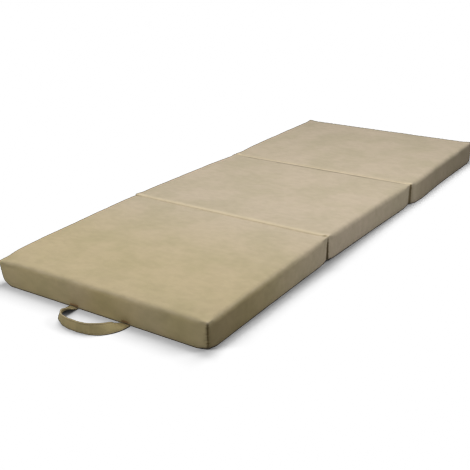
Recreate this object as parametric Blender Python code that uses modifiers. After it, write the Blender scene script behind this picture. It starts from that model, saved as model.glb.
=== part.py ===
"""A folding floor mattress: three foam sections in suede-like covers, two cloth hinges, zips and a handle.

Metres, +Z up. +Y runs along the mattress from the handle's end to the far end, and +X is to the right seen
from the handle's end. The origin is at the centre of the middle section's underside.
"""
import math

import bmesh
import bpy
from mathutils import Matrix, Vector

# Driving sizes of the mattress
MATTRESS_WIDTH = 0.800
SECTION_LENGTH = 0.647
THICKNESS = 0.090
FOLD_GAP = 0.0045

# Form of a section: its crowned top and the sides that pull in between the corners
CROWN = 0.0025
SIDE_DRAW_IN = 0.0015
EDGE_RADIUS = 0.012

# Cloth and the clearances between neighbouring pieces
CLOTH_THICKNESS = 0.0015
BASE_THICKNESS = 0.0015
SEAM_CLEARANCE = 0.0003
CORE_CLEARANCE = 0.0004
HINGE_CLEARANCE = 0.0003

# Cloth hinges
HINGE_CLOTH = 0.0008
LOWER_HINGE_INSET = 0.006
LOWER_HINGE_LIFT = 0.0004
UPPER_HINGE_REACH = 0.010
UPPER_HINGE_DIP_REACH = 0.003
UPPER_HINGE_CLEARANCE = 0.00035

# Carrying handle
HANDLE_SPAN = 0.200
HANDLE_REACH = 0.104
HANDLE_OFFSET = 0.012
STRAP_WIDTH = 0.033
STRAP_THICKNESS = 0.003
STRAP_FLOOR_GAP = 0.0005
HEM_RADIUS = 0.002
HANDLE_RUN_GAP = 0.0003
TACK_HEIGHT = 0.007
TACK_THICKNESS = 0.0008
TACK_LIFT = 0.0035

# Zip in the hidden long side of each section
ZIP_END_MARGIN = 0.040
ZIP_LOWER_MARGIN = 0.006
TAPE_WIDTH = 0.010
TAPE_THICKNESS = 0.0008
TAPE_RECESS = 0.0004
COIL_WIDTH = 0.0055
COIL_THICKNESS = 0.0017
COIL_PROUD = 0.0006
SLIDER_LENGTH = 0.016
SLIDER_WIDTH = 0.011
SLIDER_PLATE = 0.0012
SLIDER_RUN_GAP = 0.00035
SLIDER_EDGE_RADIUS = 0.0003
PULL_BAR_RADIUS = 0.0007
PULL_BAR_CLEARANCE = 0.0003
PULL_EYE_WALL = 0.0008
PULL_EYE_WIDTH = 0.0032
PULL_LUG_WIDTH = 0.0012
PULL_LUG_RADIUS = 0.0012
PULL_LENGTH = 0.022
PULL_WIDTH = 0.007
PULL_THICKNESS = 0.0013
PULL_EDGE_RADIUS = 0.0004

# How far cutting forms run past what they cut
OVERRUN = 0.002

# How finely the forms are divided, and the angle from which an edge stays sharp
EDGE_SEGMENTS = 4
SMALL_EDGE_SEGMENTS = 2
TOP_COLUMNS = 8
TOP_ROWS = 7
SIDE_ROWS = 3
HINGE_ROWS = 12
STRAP_STEPS = 40
STRAP_ROWS = 2
OUTLINE_STEPS_EACH = 20
ROUND_SEGMENTS = 16
SHARP_ANGLE_DEG = 40.0

# The handle's outline is a superellipse of this power. Its strap is tilted from lying flat by these angles, in
# degrees, at these shares of its length
HANDLE_POWER = 2.6
TILT_SHARES = (0.0, 0.03, 0.15, 0.28, 0.62, 0.80, 0.87, 0.93, 1.0)
TILT_DEG = (0.0, 0.0, 42.0, 88.0, 88.0, 56.0, 40.0, 14.0, 0.0)

# Places worked out from the sizes above
SECTION_PITCH = SECTION_LENGTH + FOLD_GAP
SIDE_HEIGHT = THICKNESS - CROWN
FLAP_BOTTOM = BASE_THICKNESS + SEAM_CLEARANCE
UPPER_AXIS_HEIGHT = THICKNESS + HINGE_CLEARANCE
LOWER_AXIS_HEIGHT = -HINGE_CLEARANCE
SECTION_PLACES = {"front": -SECTION_PITCH, "middle": 0.0, "rear": SECTION_PITCH}

# Colours in linear light, roughness and metallic value of each finish
FINISHES = {
    "suede_cloth": ((0.47, 0.39, 0.27), 0.92, 0.0),
    "base_cloth": ((0.36, 0.30, 0.21), 0.92, 0.0),
    "hinge_cloth": ((0.47, 0.39, 0.27), 0.92, 0.0),
    "strap_cloth": ((0.40, 0.33, 0.22), 0.90, 0.0),
    "tack_thread": ((0.26, 0.15, 0.06), 0.75, 0.0),
    "foam": ((0.80, 0.74, 0.55), 0.95, 0.0),
    "zip_tape": ((0.40, 0.33, 0.23), 0.85, 0.0),
    "zip_coil": ((0.42, 0.36, 0.26), 0.45, 0.0),
    "zip_metal": ((0.42, 0.38, 0.30), 0.35, 1.0),
}


def clear_scene():
    for item in list(bpy.data.objects):
        bpy.data.objects.remove(item, do_unlink=True)


def new_collection(name):
    collection = bpy.data.collections.new(name)
    bpy.context.scene.collection.children.link(collection)
    return collection


def piece_material(piece_name, finish):
    """Each piece has a material of its own, with the colour and gloss of its finish."""
    colour, roughness, metallic = FINISHES[finish]
    material = bpy.data.materials.new(piece_name)
    material.use_nodes = True
    shader = material.node_tree.nodes["Principled BSDF"]
    shader.inputs["Base Color"].default_value = (*colour, 1.0)
    shader.inputs["Roughness"].default_value = roughness
    shader.inputs["Metallic"].default_value = metallic
    material.diffuse_color = (*colour, 1.0)
    return material


def add_piece(name, mesh, finish, place, parent):
    """Link a mesh as a named piece whose place is given in the world and which hangs on its joint's empty."""
    piece = bpy.data.objects.new(name, mesh)
    PARTS.objects.link(piece)
    mesh.materials.clear()
    mesh.materials.append(piece_material(name, finish))
    piece.parent = parent
    piece.location = place - (AXIS_PLACES[parent.name] if parent else Vector())
    return piece


def add_axis(name, place, parent):
    """An empty on a joint's axis. What turns or slides with the joint hangs on it."""
    axis = bpy.data.objects.new(name, None)
    PARTS.objects.link(axis)
    AXIS_PLACES[name] = place
    axis.parent = parent
    axis.location = place - (AXIS_PLACES[parent.name] if parent else Vector())
    return axis


def mesh_from(name, form):
    form.normal_update()
    mesh = bpy.data.meshes.new(name)
    form.to_mesh(mesh)
    form.free()
    return mesh


def shade(mesh):
    """Smooth shading, apart from edges that are really sharp."""
    mesh.shade_smooth()
    mesh.set_sharp_from_angle(angle=math.radians(SHARP_ANGLE_DEG))


def box_form(low, high):
    """A box between two corners."""
    form = bmesh.new()
    place = Matrix.Translation((low + high) / 2)
    stretch = Matrix.Diagonal((*(high - low), 1.0))
    bmesh.ops.create_cube(form, size=1.0, matrix=place @ stretch)
    return form


def is_upright(edge):
    low, high = sorted(vert.co.z for vert in edge.verts)
    across = (edge.verts[0].co - edge.verts[1].co).to_2d().length
    return high - low > across


def divide(form, axis, low, high, count):
    """Cut a form across one axis into equal slices, so that it can be bent."""
    normal = Vector((0.0, 0.0, 0.0))
    normal[axis] = 1.0
    for step in range(1, count):
        place = normal * (low + (high - low) * step / count)
        everything = form.verts[:] + form.edges[:] + form.faces[:]
        bmesh.ops.bisect_plane(form, geom=everything, plane_co=place, plane_no=normal)


def draw_in(across_share):
    """How far an edge pulls in at a place given from -1 to 1 between its two corners."""
    return SIDE_DRAW_IN * max(0.0, 1.0 - across_share**2)


def crown_rise(x, y):
    """How far the top stands above its edges at a place on a section."""
    along_share = 2 * y / SECTION_LENGTH
    across_share = 2 * x / MATTRESS_WIDTH
    return CROWN * max(0.0, 1.0 - across_share**2) * max(0.0, 1.0 - along_share**2)


def bend_to_form(form, crowned):
    """Give a straight box-like form the section's crown and its drawn-in sides."""
    for vert in form.verts:
        x, y, z = vert.co
        along_share = 2 * y / SECTION_LENGTH
        across_share = 2 * x / MATTRESS_WIDTH
        if crowned:
            vert.co.z = z + crown_rise(x, y) * z / SIDE_HEIGHT
        vert.co.x = x - across_share * draw_in(along_share)
        vert.co.y = y - along_share * draw_in(across_share)


def zip_slot_height():
    return COIL_WIDTH + 2 * TAPE_WIDTH + 4 * SEAM_CLEARANCE


def zip_height():
    """Height of the zip's middle line above the floor."""
    return FLAP_BOTTOM + ZIP_LOWER_MARGIN + zip_slot_height() / 2


def zip_length():
    return SECTION_LENGTH - 2 * ZIP_END_MARGIN


def zip_depths():
    """Depths below the left corner plane: the tape's outer face, and the coil's outer and inner faces."""
    tape_face = SIDE_DRAW_IN + TAPE_RECESS
    coil_face = tape_face - COIL_PROUD
    return tape_face, coil_face, coil_face + COIL_THICKNESS


def cover_shell_mesh():
    """The cloth over the top and the four sides: a formed open surface that gets the cloth's thickness."""
    half = Vector((MATTRESS_WIDTH / 2, SECTION_LENGTH / 2, 0.0))
    form = box_form(Vector((-half.x, -half.y, FLAP_BOTTOM)), Vector((half.x, half.y, SIDE_HEIGHT)))
    middle_height = (FLAP_BOTTOM + SIDE_HEIGHT) / 2
    underside = [face for face in form.faces if face.calc_center_median().z < (FLAP_BOTTOM + middle_height) / 2]
    bmesh.ops.delete(form, geom=underside, context="FACES_ONLY")
    rounded = [edge for edge in form.edges if is_upright(edge) or min(v.co.z for v in edge.verts) > middle_height]
    bmesh.ops.bevel(form, geom=rounded, offset=EDGE_RADIUS, segments=EDGE_SEGMENTS, profile=0.5, affect="EDGES")
    divide(form, 0, -half.x, half.x, TOP_COLUMNS)
    divide(form, 1, -half.y, half.y, TOP_ROWS)
    divide(form, 2, FLAP_BOTTOM, SIDE_HEIGHT - EDGE_RADIUS, SIDE_ROWS)
    bend_to_form(form, crowned=True)
    return mesh_from("cover_shell", form)


def add_cover_shell(section, place, parent):
    shell = add_piece(f"cover_shell_{section}", cover_shell_mesh(), "suede_cloth", place, parent)
    wall = shell.modifiers.new("cloth", "SOLIDIFY")
    wall.thickness = CLOTH_THICKNESS
    wall.offset = -1.0
    wall.use_even_offset = True
    slot = shell.modifiers.new("zip_slot", "BOOLEAN")
    slot.operation = "DIFFERENCE"
    slot.solver = "EXACT"
    slot.object = add_zip_cutter(section, place)
    shade(shell.data)
    return shell


def add_zip_cutter(section, place):
    """The window in the left side that the zip fills."""
    left = -MATTRESS_WIDTH / 2
    half_length = zip_length() / 2 + SEAM_CLEARANCE
    half_height = zip_slot_height() / 2
    low = Vector((left - OVERRUN, -half_length, zip_height() - half_height))
    high = Vector((left + core_side_inset() + OVERRUN, half_length, zip_height() + half_height))
    cutter = bpy.data.objects.new(f"zip_window_{section}", mesh_from("zip_window", box_form(low, high)))
    CUTTERS.objects.link(cutter)
    cutter.location = place
    cutter.hide_render = True
    cutter.display_type = "WIRE"
    return cutter


def core_side_inset():
    """The foam stays clear of the drawn-in cloth and of the zip behind it."""
    return max(SIDE_DRAW_IN + CLOTH_THICKNESS, zip_depths()[2]) + CORE_CLEARANCE


def add_foam_core(section, place, parent):
    inset = core_side_inset()
    half_x = MATTRESS_WIDTH / 2 - inset
    half_y = SECTION_LENGTH / 2 - SIDE_DRAW_IN - CLOTH_THICKNESS - CORE_CLEARANCE
    bottom = BASE_THICKNESS + CORE_CLEARANCE
    top = SIDE_HEIGHT - CLOTH_THICKNESS - CORE_CLEARANCE
    form = box_form(Vector((-half_x, -half_y, bottom)), Vector((half_x, half_y, top)))
    bmesh.ops.bevel(form, geom=form.edges[:], offset=EDGE_RADIUS, segments=EDGE_SEGMENTS, profile=0.5, affect="EDGES")
    divide(form, 0, -half_x, half_x, TOP_COLUMNS)
    divide(form, 1, -half_y, half_y, TOP_ROWS)
    for vert in form.verts:
        vert.co.z += crown_rise(vert.co.x, vert.co.y) * (vert.co.z - bottom) / (top - bottom)
    core = add_piece(f"foam_core_{section}", mesh_from("foam_core", form), "foam", place, parent)
    shade(core.data)
    return core


def add_cover_base(section, place, parent):
    """The bottom cloth. Where the lower hinge is sewn on, it stops short of the section's end."""
    half_x = MATTRESS_WIDTH / 2 - SEAM_CLEARANCE
    half_y = SECTION_LENGTH / 2 - SEAM_CLEARANCE
    form = box_form(Vector((-half_x, -half_y, 0.0)), Vector((half_x, half_y, BASE_THICKNESS)))
    corners = [edge for edge in form.edges if is_upright(edge)]
    bmesh.ops.bevel(form, geom=corners, offset=EDGE_RADIUS, segments=EDGE_SEGMENTS, profile=0.5, affect="EDGES")
    divide(form, 0, -half_x, half_x, TOP_COLUMNS)
    divide(form, 1, -half_y, half_y, TOP_ROWS)
    bend_to_form(form, crowned=False)
    hinge_side = {"front": 1, "middle": -1}.get(section)
    if hinge_side:
        limit = SECTION_LENGTH / 2 - LOWER_HINGE_INSET
        everything = form.verts[:] + form.edges[:] + form.faces[:]
        cut = bmesh.ops.bisect_plane(
            form,
            geom=everything,
            plane_co=Vector((0.0, hinge_side * limit, 0.0)),
            plane_no=Vector((0.0, hinge_side, 0.0)),
            clear_outer=True,
        )
        rim = [item for item in cut["geom_cut"] if isinstance(item, bmesh.types.BMEdge)]
        bmesh.ops.contextual_create(form, geom=rim)
    return add_piece(f"cover_base_{section}", mesh_from("cover_base", form), "base_cloth", place, parent)


def add_lower_hinge(place, parent):
    """The cloth under the front fold, sewn edge to edge between two bottom cloths."""
    half_x = MATTRESS_WIDTH / 2 - EDGE_RADIUS
    half_y = FOLD_GAP / 2 + LOWER_HINGE_INSET - SEAM_CLEARANCE
    low = Vector((-half_x, -half_y, LOWER_HINGE_LIFT))
    high = Vector((half_x, half_y, LOWER_HINGE_LIFT + HINGE_CLOTH))
    mesh = mesh_from("hinge_strip", box_form(low, high))
    return add_piece("hinge_strip_front", mesh, "hinge_cloth", place, parent)


def edge_drop(reach):
    """How far the rounded top edge lies below the top, at a distance in from the section's end."""
    inward = min(reach, EDGE_RADIUS)
    return EDGE_RADIUS - math.sqrt(EDGE_RADIUS**2 - (EDGE_RADIUS - inward) ** 2)


def add_upper_hinge(place, parent):
    """The cloth over the rear fold, which dips into the valley between two rounded edges."""
    half_x = MATTRESS_WIDTH / 2 - EDGE_RADIUS
    half_y = FOLD_GAP / 2 + UPPER_HINGE_REACH
    form = bmesh.new()
    bmesh.ops.create_grid(form, x_segments=TOP_COLUMNS, y_segments=HINGE_ROWS, size=1.0)
    for vert in form.verts:
        x = vert.co.x * half_x
        across = vert.co.y * half_y
        reach = max(abs(across) - FOLD_GAP / 2, UPPER_HINGE_DIP_REACH)
        on_section = SECTION_LENGTH / 2 - reach
        height = SIDE_HEIGHT - edge_drop(reach) + crown_rise(x, on_section)
        vert.co = Vector((x, across, height + UPPER_HINGE_CLEARANCE))
    strip = add_piece("hinge_strip_rear", mesh_from("hinge_valley", form), "hinge_cloth", place, parent)
    wall = strip.modifiers.new("cloth", "SOLIDIFY")
    wall.thickness = HINGE_CLOTH
    wall.offset = 1.0
    strip.data.shade_smooth()
    return strip


def add_side_strip(name, low, high, finish, place, parent):
    """A straight strip of the zip, given by depth below the left corner plane, place along it and height."""
    left = Vector((-MATTRESS_WIDTH / 2, 0.0, 0.0))
    return add_piece(name, mesh_from(name, box_form(left + low, left + high)), finish, place, parent)


def add_zip(section, place, parent):
    tape_face, coil_face, coil_back = zip_depths()
    half_length = zip_length() / 2
    height = zip_height()
    near = COIL_WIDTH / 2 + SEAM_CLEARANCE
    far = near + TAPE_WIDTH
    for name, low_z, high_z in (("upper", height + near, height + far), ("lower", height - far, height - near)):
        low = Vector((tape_face, -half_length, low_z))
        high = Vector((tape_face + TAPE_THICKNESS, half_length, high_z))
        add_side_strip(f"zip_tape_{name}_{section}", low, high, "zip_tape", place, parent)
    low = Vector((coil_face, -half_length, height - COIL_WIDTH / 2))
    high = Vector((coil_back, half_length, height + COIL_WIDTH / 2))
    add_side_strip(f"zip_coil_{section}", low, high, "zip_coil", place, parent)


def rod(radius, length, centre, along):
    """A solid round bar, centred on a point and pointing along a direction."""
    form = bmesh.new()
    turn = Vector((0.0, 0.0, 1.0)).rotation_difference(along).to_matrix().to_4x4()
    bmesh.ops.create_cone(
        form,
        cap_ends=True,
        segments=ROUND_SEGMENTS,
        radius1=radius,
        radius2=radius,
        depth=length,
        matrix=Matrix.Translation(centre) @ turn,
    )
    return form


def rounded_box(low, high, radius):
    form = box_form(low, high)
    edges = form.edges[:]
    bmesh.ops.bevel(form, geom=edges, offset=radius, segments=SMALL_EDGE_SEGMENTS, profile=0.5, affect="EDGES")
    return form


def combine(name, base, others, operation="UNION"):
    """Join overlapping forms into one body, or cut the others out of the first."""
    body = bpy.data.objects.new(name, mesh_from(name, base))
    bpy.context.scene.collection.objects.link(body)
    tools = []
    for other in others:
        tool = bpy.data.objects.new(name + "_tool", mesh_from(name + "_tool", other))
        bpy.context.scene.collection.objects.link(tool)
        join = body.modifiers.new("join", "BOOLEAN")
        join.operation = operation
        join.solver = "EXACT"
        join.object = tool
        tools.append(tool)
    bpy.context.view_layer.update()
    graph = bpy.context.evaluated_depsgraph_get()
    mesh = bpy.data.meshes.new_from_object(body.evaluated_get(graph))
    for spent in [body, *tools]:
        bpy.data.objects.remove(spent, do_unlink=True)
    shade(mesh)
    return mesh


def form_of(mesh):
    form = bmesh.new()
    form.from_mesh(mesh)
    return form


def slider_outer_depth():
    """Depth of the slider plate's outer face below the left corner plane. It is negative where it stands proud."""
    return zip_depths()[1] - SLIDER_RUN_GAP - SLIDER_PLATE


def eye_radius():
    return PULL_BAR_RADIUS + PULL_BAR_CLEARANCE + PULL_EYE_WALL


def pull_axis_depth():
    """The bar stands off the plate far enough for the pull's eye to turn round it."""
    return slider_outer_depth() - eye_radius() - PULL_BAR_CLEARANCE


def slider_place():
    """The closed zip's slider sits at the end of the coil that is nearest the handle."""
    return Vector((0.0, -zip_length() / 2 + SLIDER_LENGTH / 2, zip_height()))


def pull_bar_place():
    """The middle of the slider's bar, on which the pull hangs."""
    return slider_place() + Vector((pull_axis_depth() - MATTRESS_WIDTH / 2, 0.0, 0.0))


def add_slider(section, place, parent):
    """The slider's own origin is the middle of its bar."""
    tape = zip_depths()[0] - pull_axis_depth()
    outer = slider_outer_depth() - pull_axis_depth()
    inner = outer + SLIDER_PLATE
    half_length = SLIDER_LENGTH / 2
    half_width = SLIDER_WIDTH / 2
    low = Vector((outer, -half_length, -half_width))
    high = Vector((inner, half_length, half_width))
    plate = rounded_box(low, high, SLIDER_EDGE_RADIUS)
    pieces = []
    for side in (-1, 1):
        edges = sorted((side * (COIL_WIDTH / 2 + SLIDER_RUN_GAP), side * half_width))
        flange_half = half_length - 2 * SLIDER_EDGE_RADIUS
        low = Vector((inner - SLIDER_PLATE / 2, -flange_half, edges[0]))
        high = Vector((tape - SLIDER_RUN_GAP, flange_half, edges[1]))
        pieces.append(box_form(low, high))
    lug_offset = PULL_EYE_WIDTH / 2 + PULL_BAR_CLEARANCE + PULL_LUG_WIDTH / 2
    for side in (-1, 1):
        middle = Vector((0.0, 0.0, side * lug_offset))
        low = Vector((0.0, -PULL_LUG_RADIUS, middle.z - PULL_LUG_WIDTH / 2))
        high = Vector((outer + SLIDER_PLATE / 2, PULL_LUG_RADIUS, middle.z + PULL_LUG_WIDTH / 2))
        pieces.append(box_form(low, high))
        pieces.append(rod(PULL_LUG_RADIUS, PULL_LUG_WIDTH, middle, Vector((0.0, 0.0, 1.0))))
    pieces.append(rod(PULL_BAR_RADIUS, 2 * lug_offset, Vector(), Vector((0.0, 0.0, 1.0))))
    mesh = combine("zip_slider", plate, pieces)
    return add_piece(f"zip_slider_{section}", mesh, "zip_metal", place + pull_bar_place(), parent)


def add_pull(section, place, parent):
    """The pull's own origin is on the slider's bar, and it lies flat along the zip."""
    eye = rod(eye_radius(), PULL_EYE_WIDTH, Vector(), Vector((0.0, 0.0, 1.0)))
    neck = box_form(
        Vector((-PULL_THICKNESS / 2, PULL_BAR_RADIUS + PULL_BAR_CLEARANCE, -PULL_EYE_WIDTH / 2)),
        Vector((PULL_THICKNESS / 2, PULL_WIDTH, PULL_EYE_WIDTH / 2)),
    )
    tab = rounded_box(
        Vector((-PULL_THICKNESS / 2, PULL_WIDTH - PULL_THICKNESS, -PULL_WIDTH / 2)),
        Vector((PULL_THICKNESS / 2, PULL_LENGTH, PULL_WIDTH / 2)),
        PULL_EDGE_RADIUS,
    )
    body = combine("zip_pull_body", eye, [neck, tab])
    hole_length = PULL_EYE_WIDTH + 2 * OVERRUN
    hole = rod(PULL_BAR_RADIUS + PULL_BAR_CLEARANCE, hole_length, Vector(), Vector((0.0, 0.0, 1.0)))
    mesh = combine("zip_pull", form_of(body), [hole], operation="DIFFERENCE")
    return add_piece(f"zip_pull_{section}", mesh, "zip_metal", place, parent)


def end_face_y(x):
    """Where the cloth of the front end lies at a place across it, below its rounded edge."""
    return SECTION_PLACES["front"] - SECTION_LENGTH / 2 + draw_in(2 * x / MATTRESS_WIDTH)


def handle_outline(count):
    """Points at even steps along the loop, in plan, from its left end to its right end."""
    dense = []
    fine = OUTLINE_STEPS_EACH * count
    outer = HANDLE_REACH - STRAP_THICKNESS / 2 - HEM_RADIUS
    for step in range(fine + 1):
        angle = math.pi * (1.0 - step / fine)
        x = math.copysign(abs(math.cos(angle)) ** (2 / HANDLE_POWER), math.cos(angle)) * HANDLE_SPAN / 2
        y = -abs(math.sin(angle)) ** (2 / HANDLE_POWER) * outer
        dense.append(Vector((x, y, 0.0)))
    travelled = [0.0]
    for before, after in zip(dense, dense[1:]):
        travelled.append(travelled[-1] + (after - before).length)
    points = []
    at = 0
    for step in range(count + 1):
        wanted = travelled[-1] * step / count
        while at < fine - 1 and travelled[at + 1] < wanted:
            at += 1
        share = (wanted - travelled[at]) / (travelled[at + 1] - travelled[at])
        points.append(dense[at].lerp(dense[at + 1], share))
    return points


def strap_tilt(share):
    """The strap's tilt from lying flat, in radians, at a share of its length."""
    at = 0
    while at < len(TILT_SHARES) - 2 and TILT_SHARES[at + 1] < share:
        at += 1
    start, end = TILT_SHARES[at : at + 2]
    low, high = TILT_DEG[at : at + 2]
    return math.radians(low + (high - low) * (share - start) / (end - start))


def handle_mesh():
    """A flat strap that leaves the seam lying flat, stands on edge round the loop and lies flat again."""
    outline = handle_outline(STRAP_STEPS)
    form = bmesh.new()
    bmesh.ops.create_grid(form, x_segments=STRAP_STEPS, y_segments=STRAP_ROWS, size=1.0)
    for vert in form.verts:
        step = round((vert.co.x + 1.0) / 2 * STRAP_STEPS)
        share = step / STRAP_STEPS
        before = outline[max(step - 1, 0)]
        after = outline[min(step + 1, STRAP_STEPS)]
        along = (after - before).normalized()
        if step in (0, STRAP_STEPS):
            along = Vector((0.0, -1.0, 0.0)) if step == 0 else Vector((0.0, 1.0, 0.0))
        sideways = Vector((-along.y, along.x, 0.0))
        tilt = strap_tilt(share)
        width_way = sideways * math.cos(tilt) + Vector((0.0, 0.0, 1.0)) * math.sin(tilt)
        rise = STRAP_WIDTH / 2 * math.sin(tilt) + STRAP_THICKNESS / 2 * math.cos(tilt) - HEM_RADIUS
        flat = math.cos(tilt) ** 2
        rise = rise + (HEM_RADIUS - STRAP_THICKNESS / 2) * flat
        vert.co = outline[step] + Vector((0.0, 0.0, rise)) + width_way * vert.co.y * STRAP_WIDTH / 2
    ribbon = bpy.data.objects.new("strap_ribbon", mesh_from("strap_ribbon", form))
    bpy.context.scene.collection.objects.link(ribbon)
    wall = ribbon.modifiers.new("strap", "SOLIDIFY")
    wall.thickness = STRAP_THICKNESS
    wall.offset = 0.0
    bpy.context.view_layer.update()
    graph = bpy.context.evaluated_depsgraph_get()
    strap = bpy.data.meshes.new_from_object(ribbon.evaluated_get(graph))
    bpy.data.objects.remove(ribbon, do_unlink=True)
    hems = []
    for side in (-1, 1):
        end = Vector((side * HANDLE_SPAN / 2, 0.0, 0.0))
        hems.append(rod(HEM_RADIUS, STRAP_WIDTH, end, Vector((1.0, 0.0, 0.0))))
    return combine("handle_strap", form_of(strap), hems)


def handle_axis_place():
    y = end_face_y(HANDLE_OFFSET + HANDLE_SPAN / 2) - HEM_RADIUS - HANDLE_RUN_GAP
    return Vector((HANDLE_OFFSET, y, STRAP_FLOOR_GAP + HEM_RADIUS))


def add_handle_tacks(place, parent):
    """The rows of thread that hold each end of the strap to the cover."""
    back = end_face_y(HANDLE_OFFSET + (HANDLE_SPAN + STRAP_WIDTH) / 2) - SEAM_CLEARANCE - place.y
    bottom = FLAP_BOTTOM + TACK_LIFT
    for name, side in (("left", -1), ("right", 1)):
        x = HANDLE_OFFSET + side * HANDLE_SPAN / 2
        low = Vector((x - STRAP_WIDTH / 2, back - TACK_THICKNESS, bottom))
        high = Vector((x + STRAP_WIDTH / 2, back, bottom + TACK_HEIGHT))
        form = box_form(low, high)
        add_piece(f"handle_tack_{name}", mesh_from("handle_tack", form), "tack_thread", place, parent)


clear_scene()
PARTS = new_collection("folding_mattress")
CUTTERS = new_collection("cutters")
AXIS_PLACES = {}

fold_rear = add_axis("axis_fold_rear", Vector((0.0, SECTION_PITCH / 2, UPPER_AXIS_HEIGHT)), None)
fold_front = add_axis("axis_fold_front", Vector((0.0, -SECTION_PITCH / 2, LOWER_AXIS_HEIGHT)), fold_rear)
carriers = {"rear": None, "middle": fold_rear, "front": fold_front}

for section_name, section_y in SECTION_PLACES.items():
    section_place = Vector((0.0, section_y, 0.0))
    carrier = carriers[section_name]
    add_foam_core(section_name, section_place, carrier)
    add_cover_shell(section_name, section_place, carrier)
    add_cover_base(section_name, section_place, carrier)
    add_zip(section_name, section_place, carrier)
    slide = add_axis(f"axis_zip_slide_{section_name}", section_place + slider_place(), carrier)
    add_slider(section_name, section_place, slide)
    bar_place = section_place + pull_bar_place()
    swing = add_axis(f"axis_zip_pull_{section_name}", bar_place, slide)
    add_pull(section_name, bar_place, swing)

add_upper_hinge(Vector((0.0, SECTION_PITCH / 2, 0.0)), fold_rear)
add_lower_hinge(Vector((0.0, -SECTION_PITCH / 2, 0.0)), fold_front)
add_handle_tacks(Vector((0.0, SECTION_PLACES["front"], 0.0)), fold_front)
handle_swing = add_axis("axis_handle_swing", handle_axis_place(), fold_front)
add_piece("handle_strap", handle_mesh(), "strap_cloth", handle_axis_place(), handle_swing)
bpy.context.view_layer.update()

for axis_name, axis_place in AXIS_PLACES.items():
    print(axis_name, [round(value, 5) for value in axis_place])
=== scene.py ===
# %% [markdown]
# This scene dresses a folding floor mattress: three firm foam sections in a beige suede-like cover, joined by two
# cloth hinges, with a carrying handle on the front end and a zip in the long side that the camera doesn't see.
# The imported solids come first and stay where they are. Every soft solid is then replaced by a finer piece.

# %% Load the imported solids
import math

import bmesh
import bpy
import numpy as np
from mathutils import Matrix, Vector
from mathutils.kdtree import KDTree


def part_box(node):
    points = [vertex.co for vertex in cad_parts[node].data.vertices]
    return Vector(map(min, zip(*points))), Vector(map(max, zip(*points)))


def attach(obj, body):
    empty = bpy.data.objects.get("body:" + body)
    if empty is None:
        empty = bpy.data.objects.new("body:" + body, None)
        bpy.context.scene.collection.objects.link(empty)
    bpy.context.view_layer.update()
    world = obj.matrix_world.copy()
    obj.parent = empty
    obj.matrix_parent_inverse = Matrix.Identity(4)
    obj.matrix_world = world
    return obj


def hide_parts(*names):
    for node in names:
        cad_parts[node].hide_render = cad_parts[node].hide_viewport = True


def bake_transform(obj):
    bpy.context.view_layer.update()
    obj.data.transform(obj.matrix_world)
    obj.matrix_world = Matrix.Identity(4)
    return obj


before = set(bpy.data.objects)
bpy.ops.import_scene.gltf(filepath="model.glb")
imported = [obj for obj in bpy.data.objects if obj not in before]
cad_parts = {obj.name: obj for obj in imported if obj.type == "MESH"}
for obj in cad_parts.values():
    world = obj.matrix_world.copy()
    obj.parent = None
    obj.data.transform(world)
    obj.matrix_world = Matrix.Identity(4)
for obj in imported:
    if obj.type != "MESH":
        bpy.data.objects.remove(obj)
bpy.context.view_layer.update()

# %% [markdown]
# The sizes below are the ones the solids were made with. A section is measured from its own centre: half its
# width, half its length, and the height of its top edges. The fold gap lies between two sections.
# Two small curves shape nearly everything later: a soft step, and a bell that fades away from a line or a point.

# %% Sizes of a section
HALF_WIDTH = 0.400
HALF_LENGTH = 0.3235
EDGE_HEIGHT = 0.0875
CROWN = 0.0025
HALF_GAP = 0.00225
FOLD_FRONT_Y = -0.32575
FOLD_REAR_Y = 0.32575
SECTION_Y = {"front": -0.6515, "middle": 0.0, "rear": 0.6515}
ZIP_HALF_LENGTH = 0.2838
ZIP_LOW = 0.0078
ZIP_HIGH = 0.0345


def smooth(value, start, end):
    """Rises from 0 to 1 between two values, with soft ends."""
    step = np.clip((value - start) / (end - start), 0.0, 1.0)
    return step * step * (3.0 - 2.0 * step)


def bell(distance, width, power=2):
    """1 where the distance is 0, and nearly nothing at twice the width. A higher power gives a flatter top."""
    return np.exp(-((distance / width) ** power))


def link(name, mesh):
    piece = bpy.data.objects.new(name, mesh)
    bpy.context.scene.collection.objects.link(piece)
    return piece


print("length of the sections", round(2 * (HALF_LENGTH - SECTION_Y["front"]), 4), "m")

# %% [markdown]
# The photograph was taken a little above a person's knee, from beyond the front right corner. The lens and the
# place were worked out from the corners of the sections, so that each one falls on its place in the picture.

# %% Camera
PHOTO_WIDTH = 470
FOCAL_PIXELS = 834.42
SENSOR_MM = 36.0
EYE = Vector((1.5549, -2.5007, 1.1099))
YAW, PITCH, ROLL = (math.radians(angle) for angle in (-34.834, -22.160, -1.456))

ahead = Vector((math.cos(PITCH) * math.sin(YAW), math.cos(PITCH) * math.cos(YAW), math.sin(PITCH)))
level_right = Vector((math.cos(YAW), -math.sin(YAW), 0.0))
level_up = level_right.cross(ahead)
camera_right = level_right * math.cos(ROLL) + level_up * math.sin(ROLL)
camera_up = -level_right * math.sin(ROLL) + level_up * math.cos(ROLL)

camera_data = bpy.data.cameras.new("camera")
camera_data.sensor_width = SENSOR_MM
camera_data.lens = FOCAL_PIXELS / PHOTO_WIDTH * SENSOR_MM
camera = link("camera", camera_data)
turn = Matrix((camera_right, camera_up, -ahead)).transposed()
camera.matrix_world = Matrix.Translation(EYE) @ turn.to_4x4()
bpy.context.scene.camera = camera
print("lens", round(camera_data.lens, 2), "mm")

# %% [markdown]
# The studio is plain: two soft lamps overhead, a weaker one before the handle's end, a small one to the right and
# a very weak even light. The sides of the mattress are then about a third as bright as its top, as in the
# photograph. The two lower lamps stand high enough to reach the floor too, which keeps the shadow soft.

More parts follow.
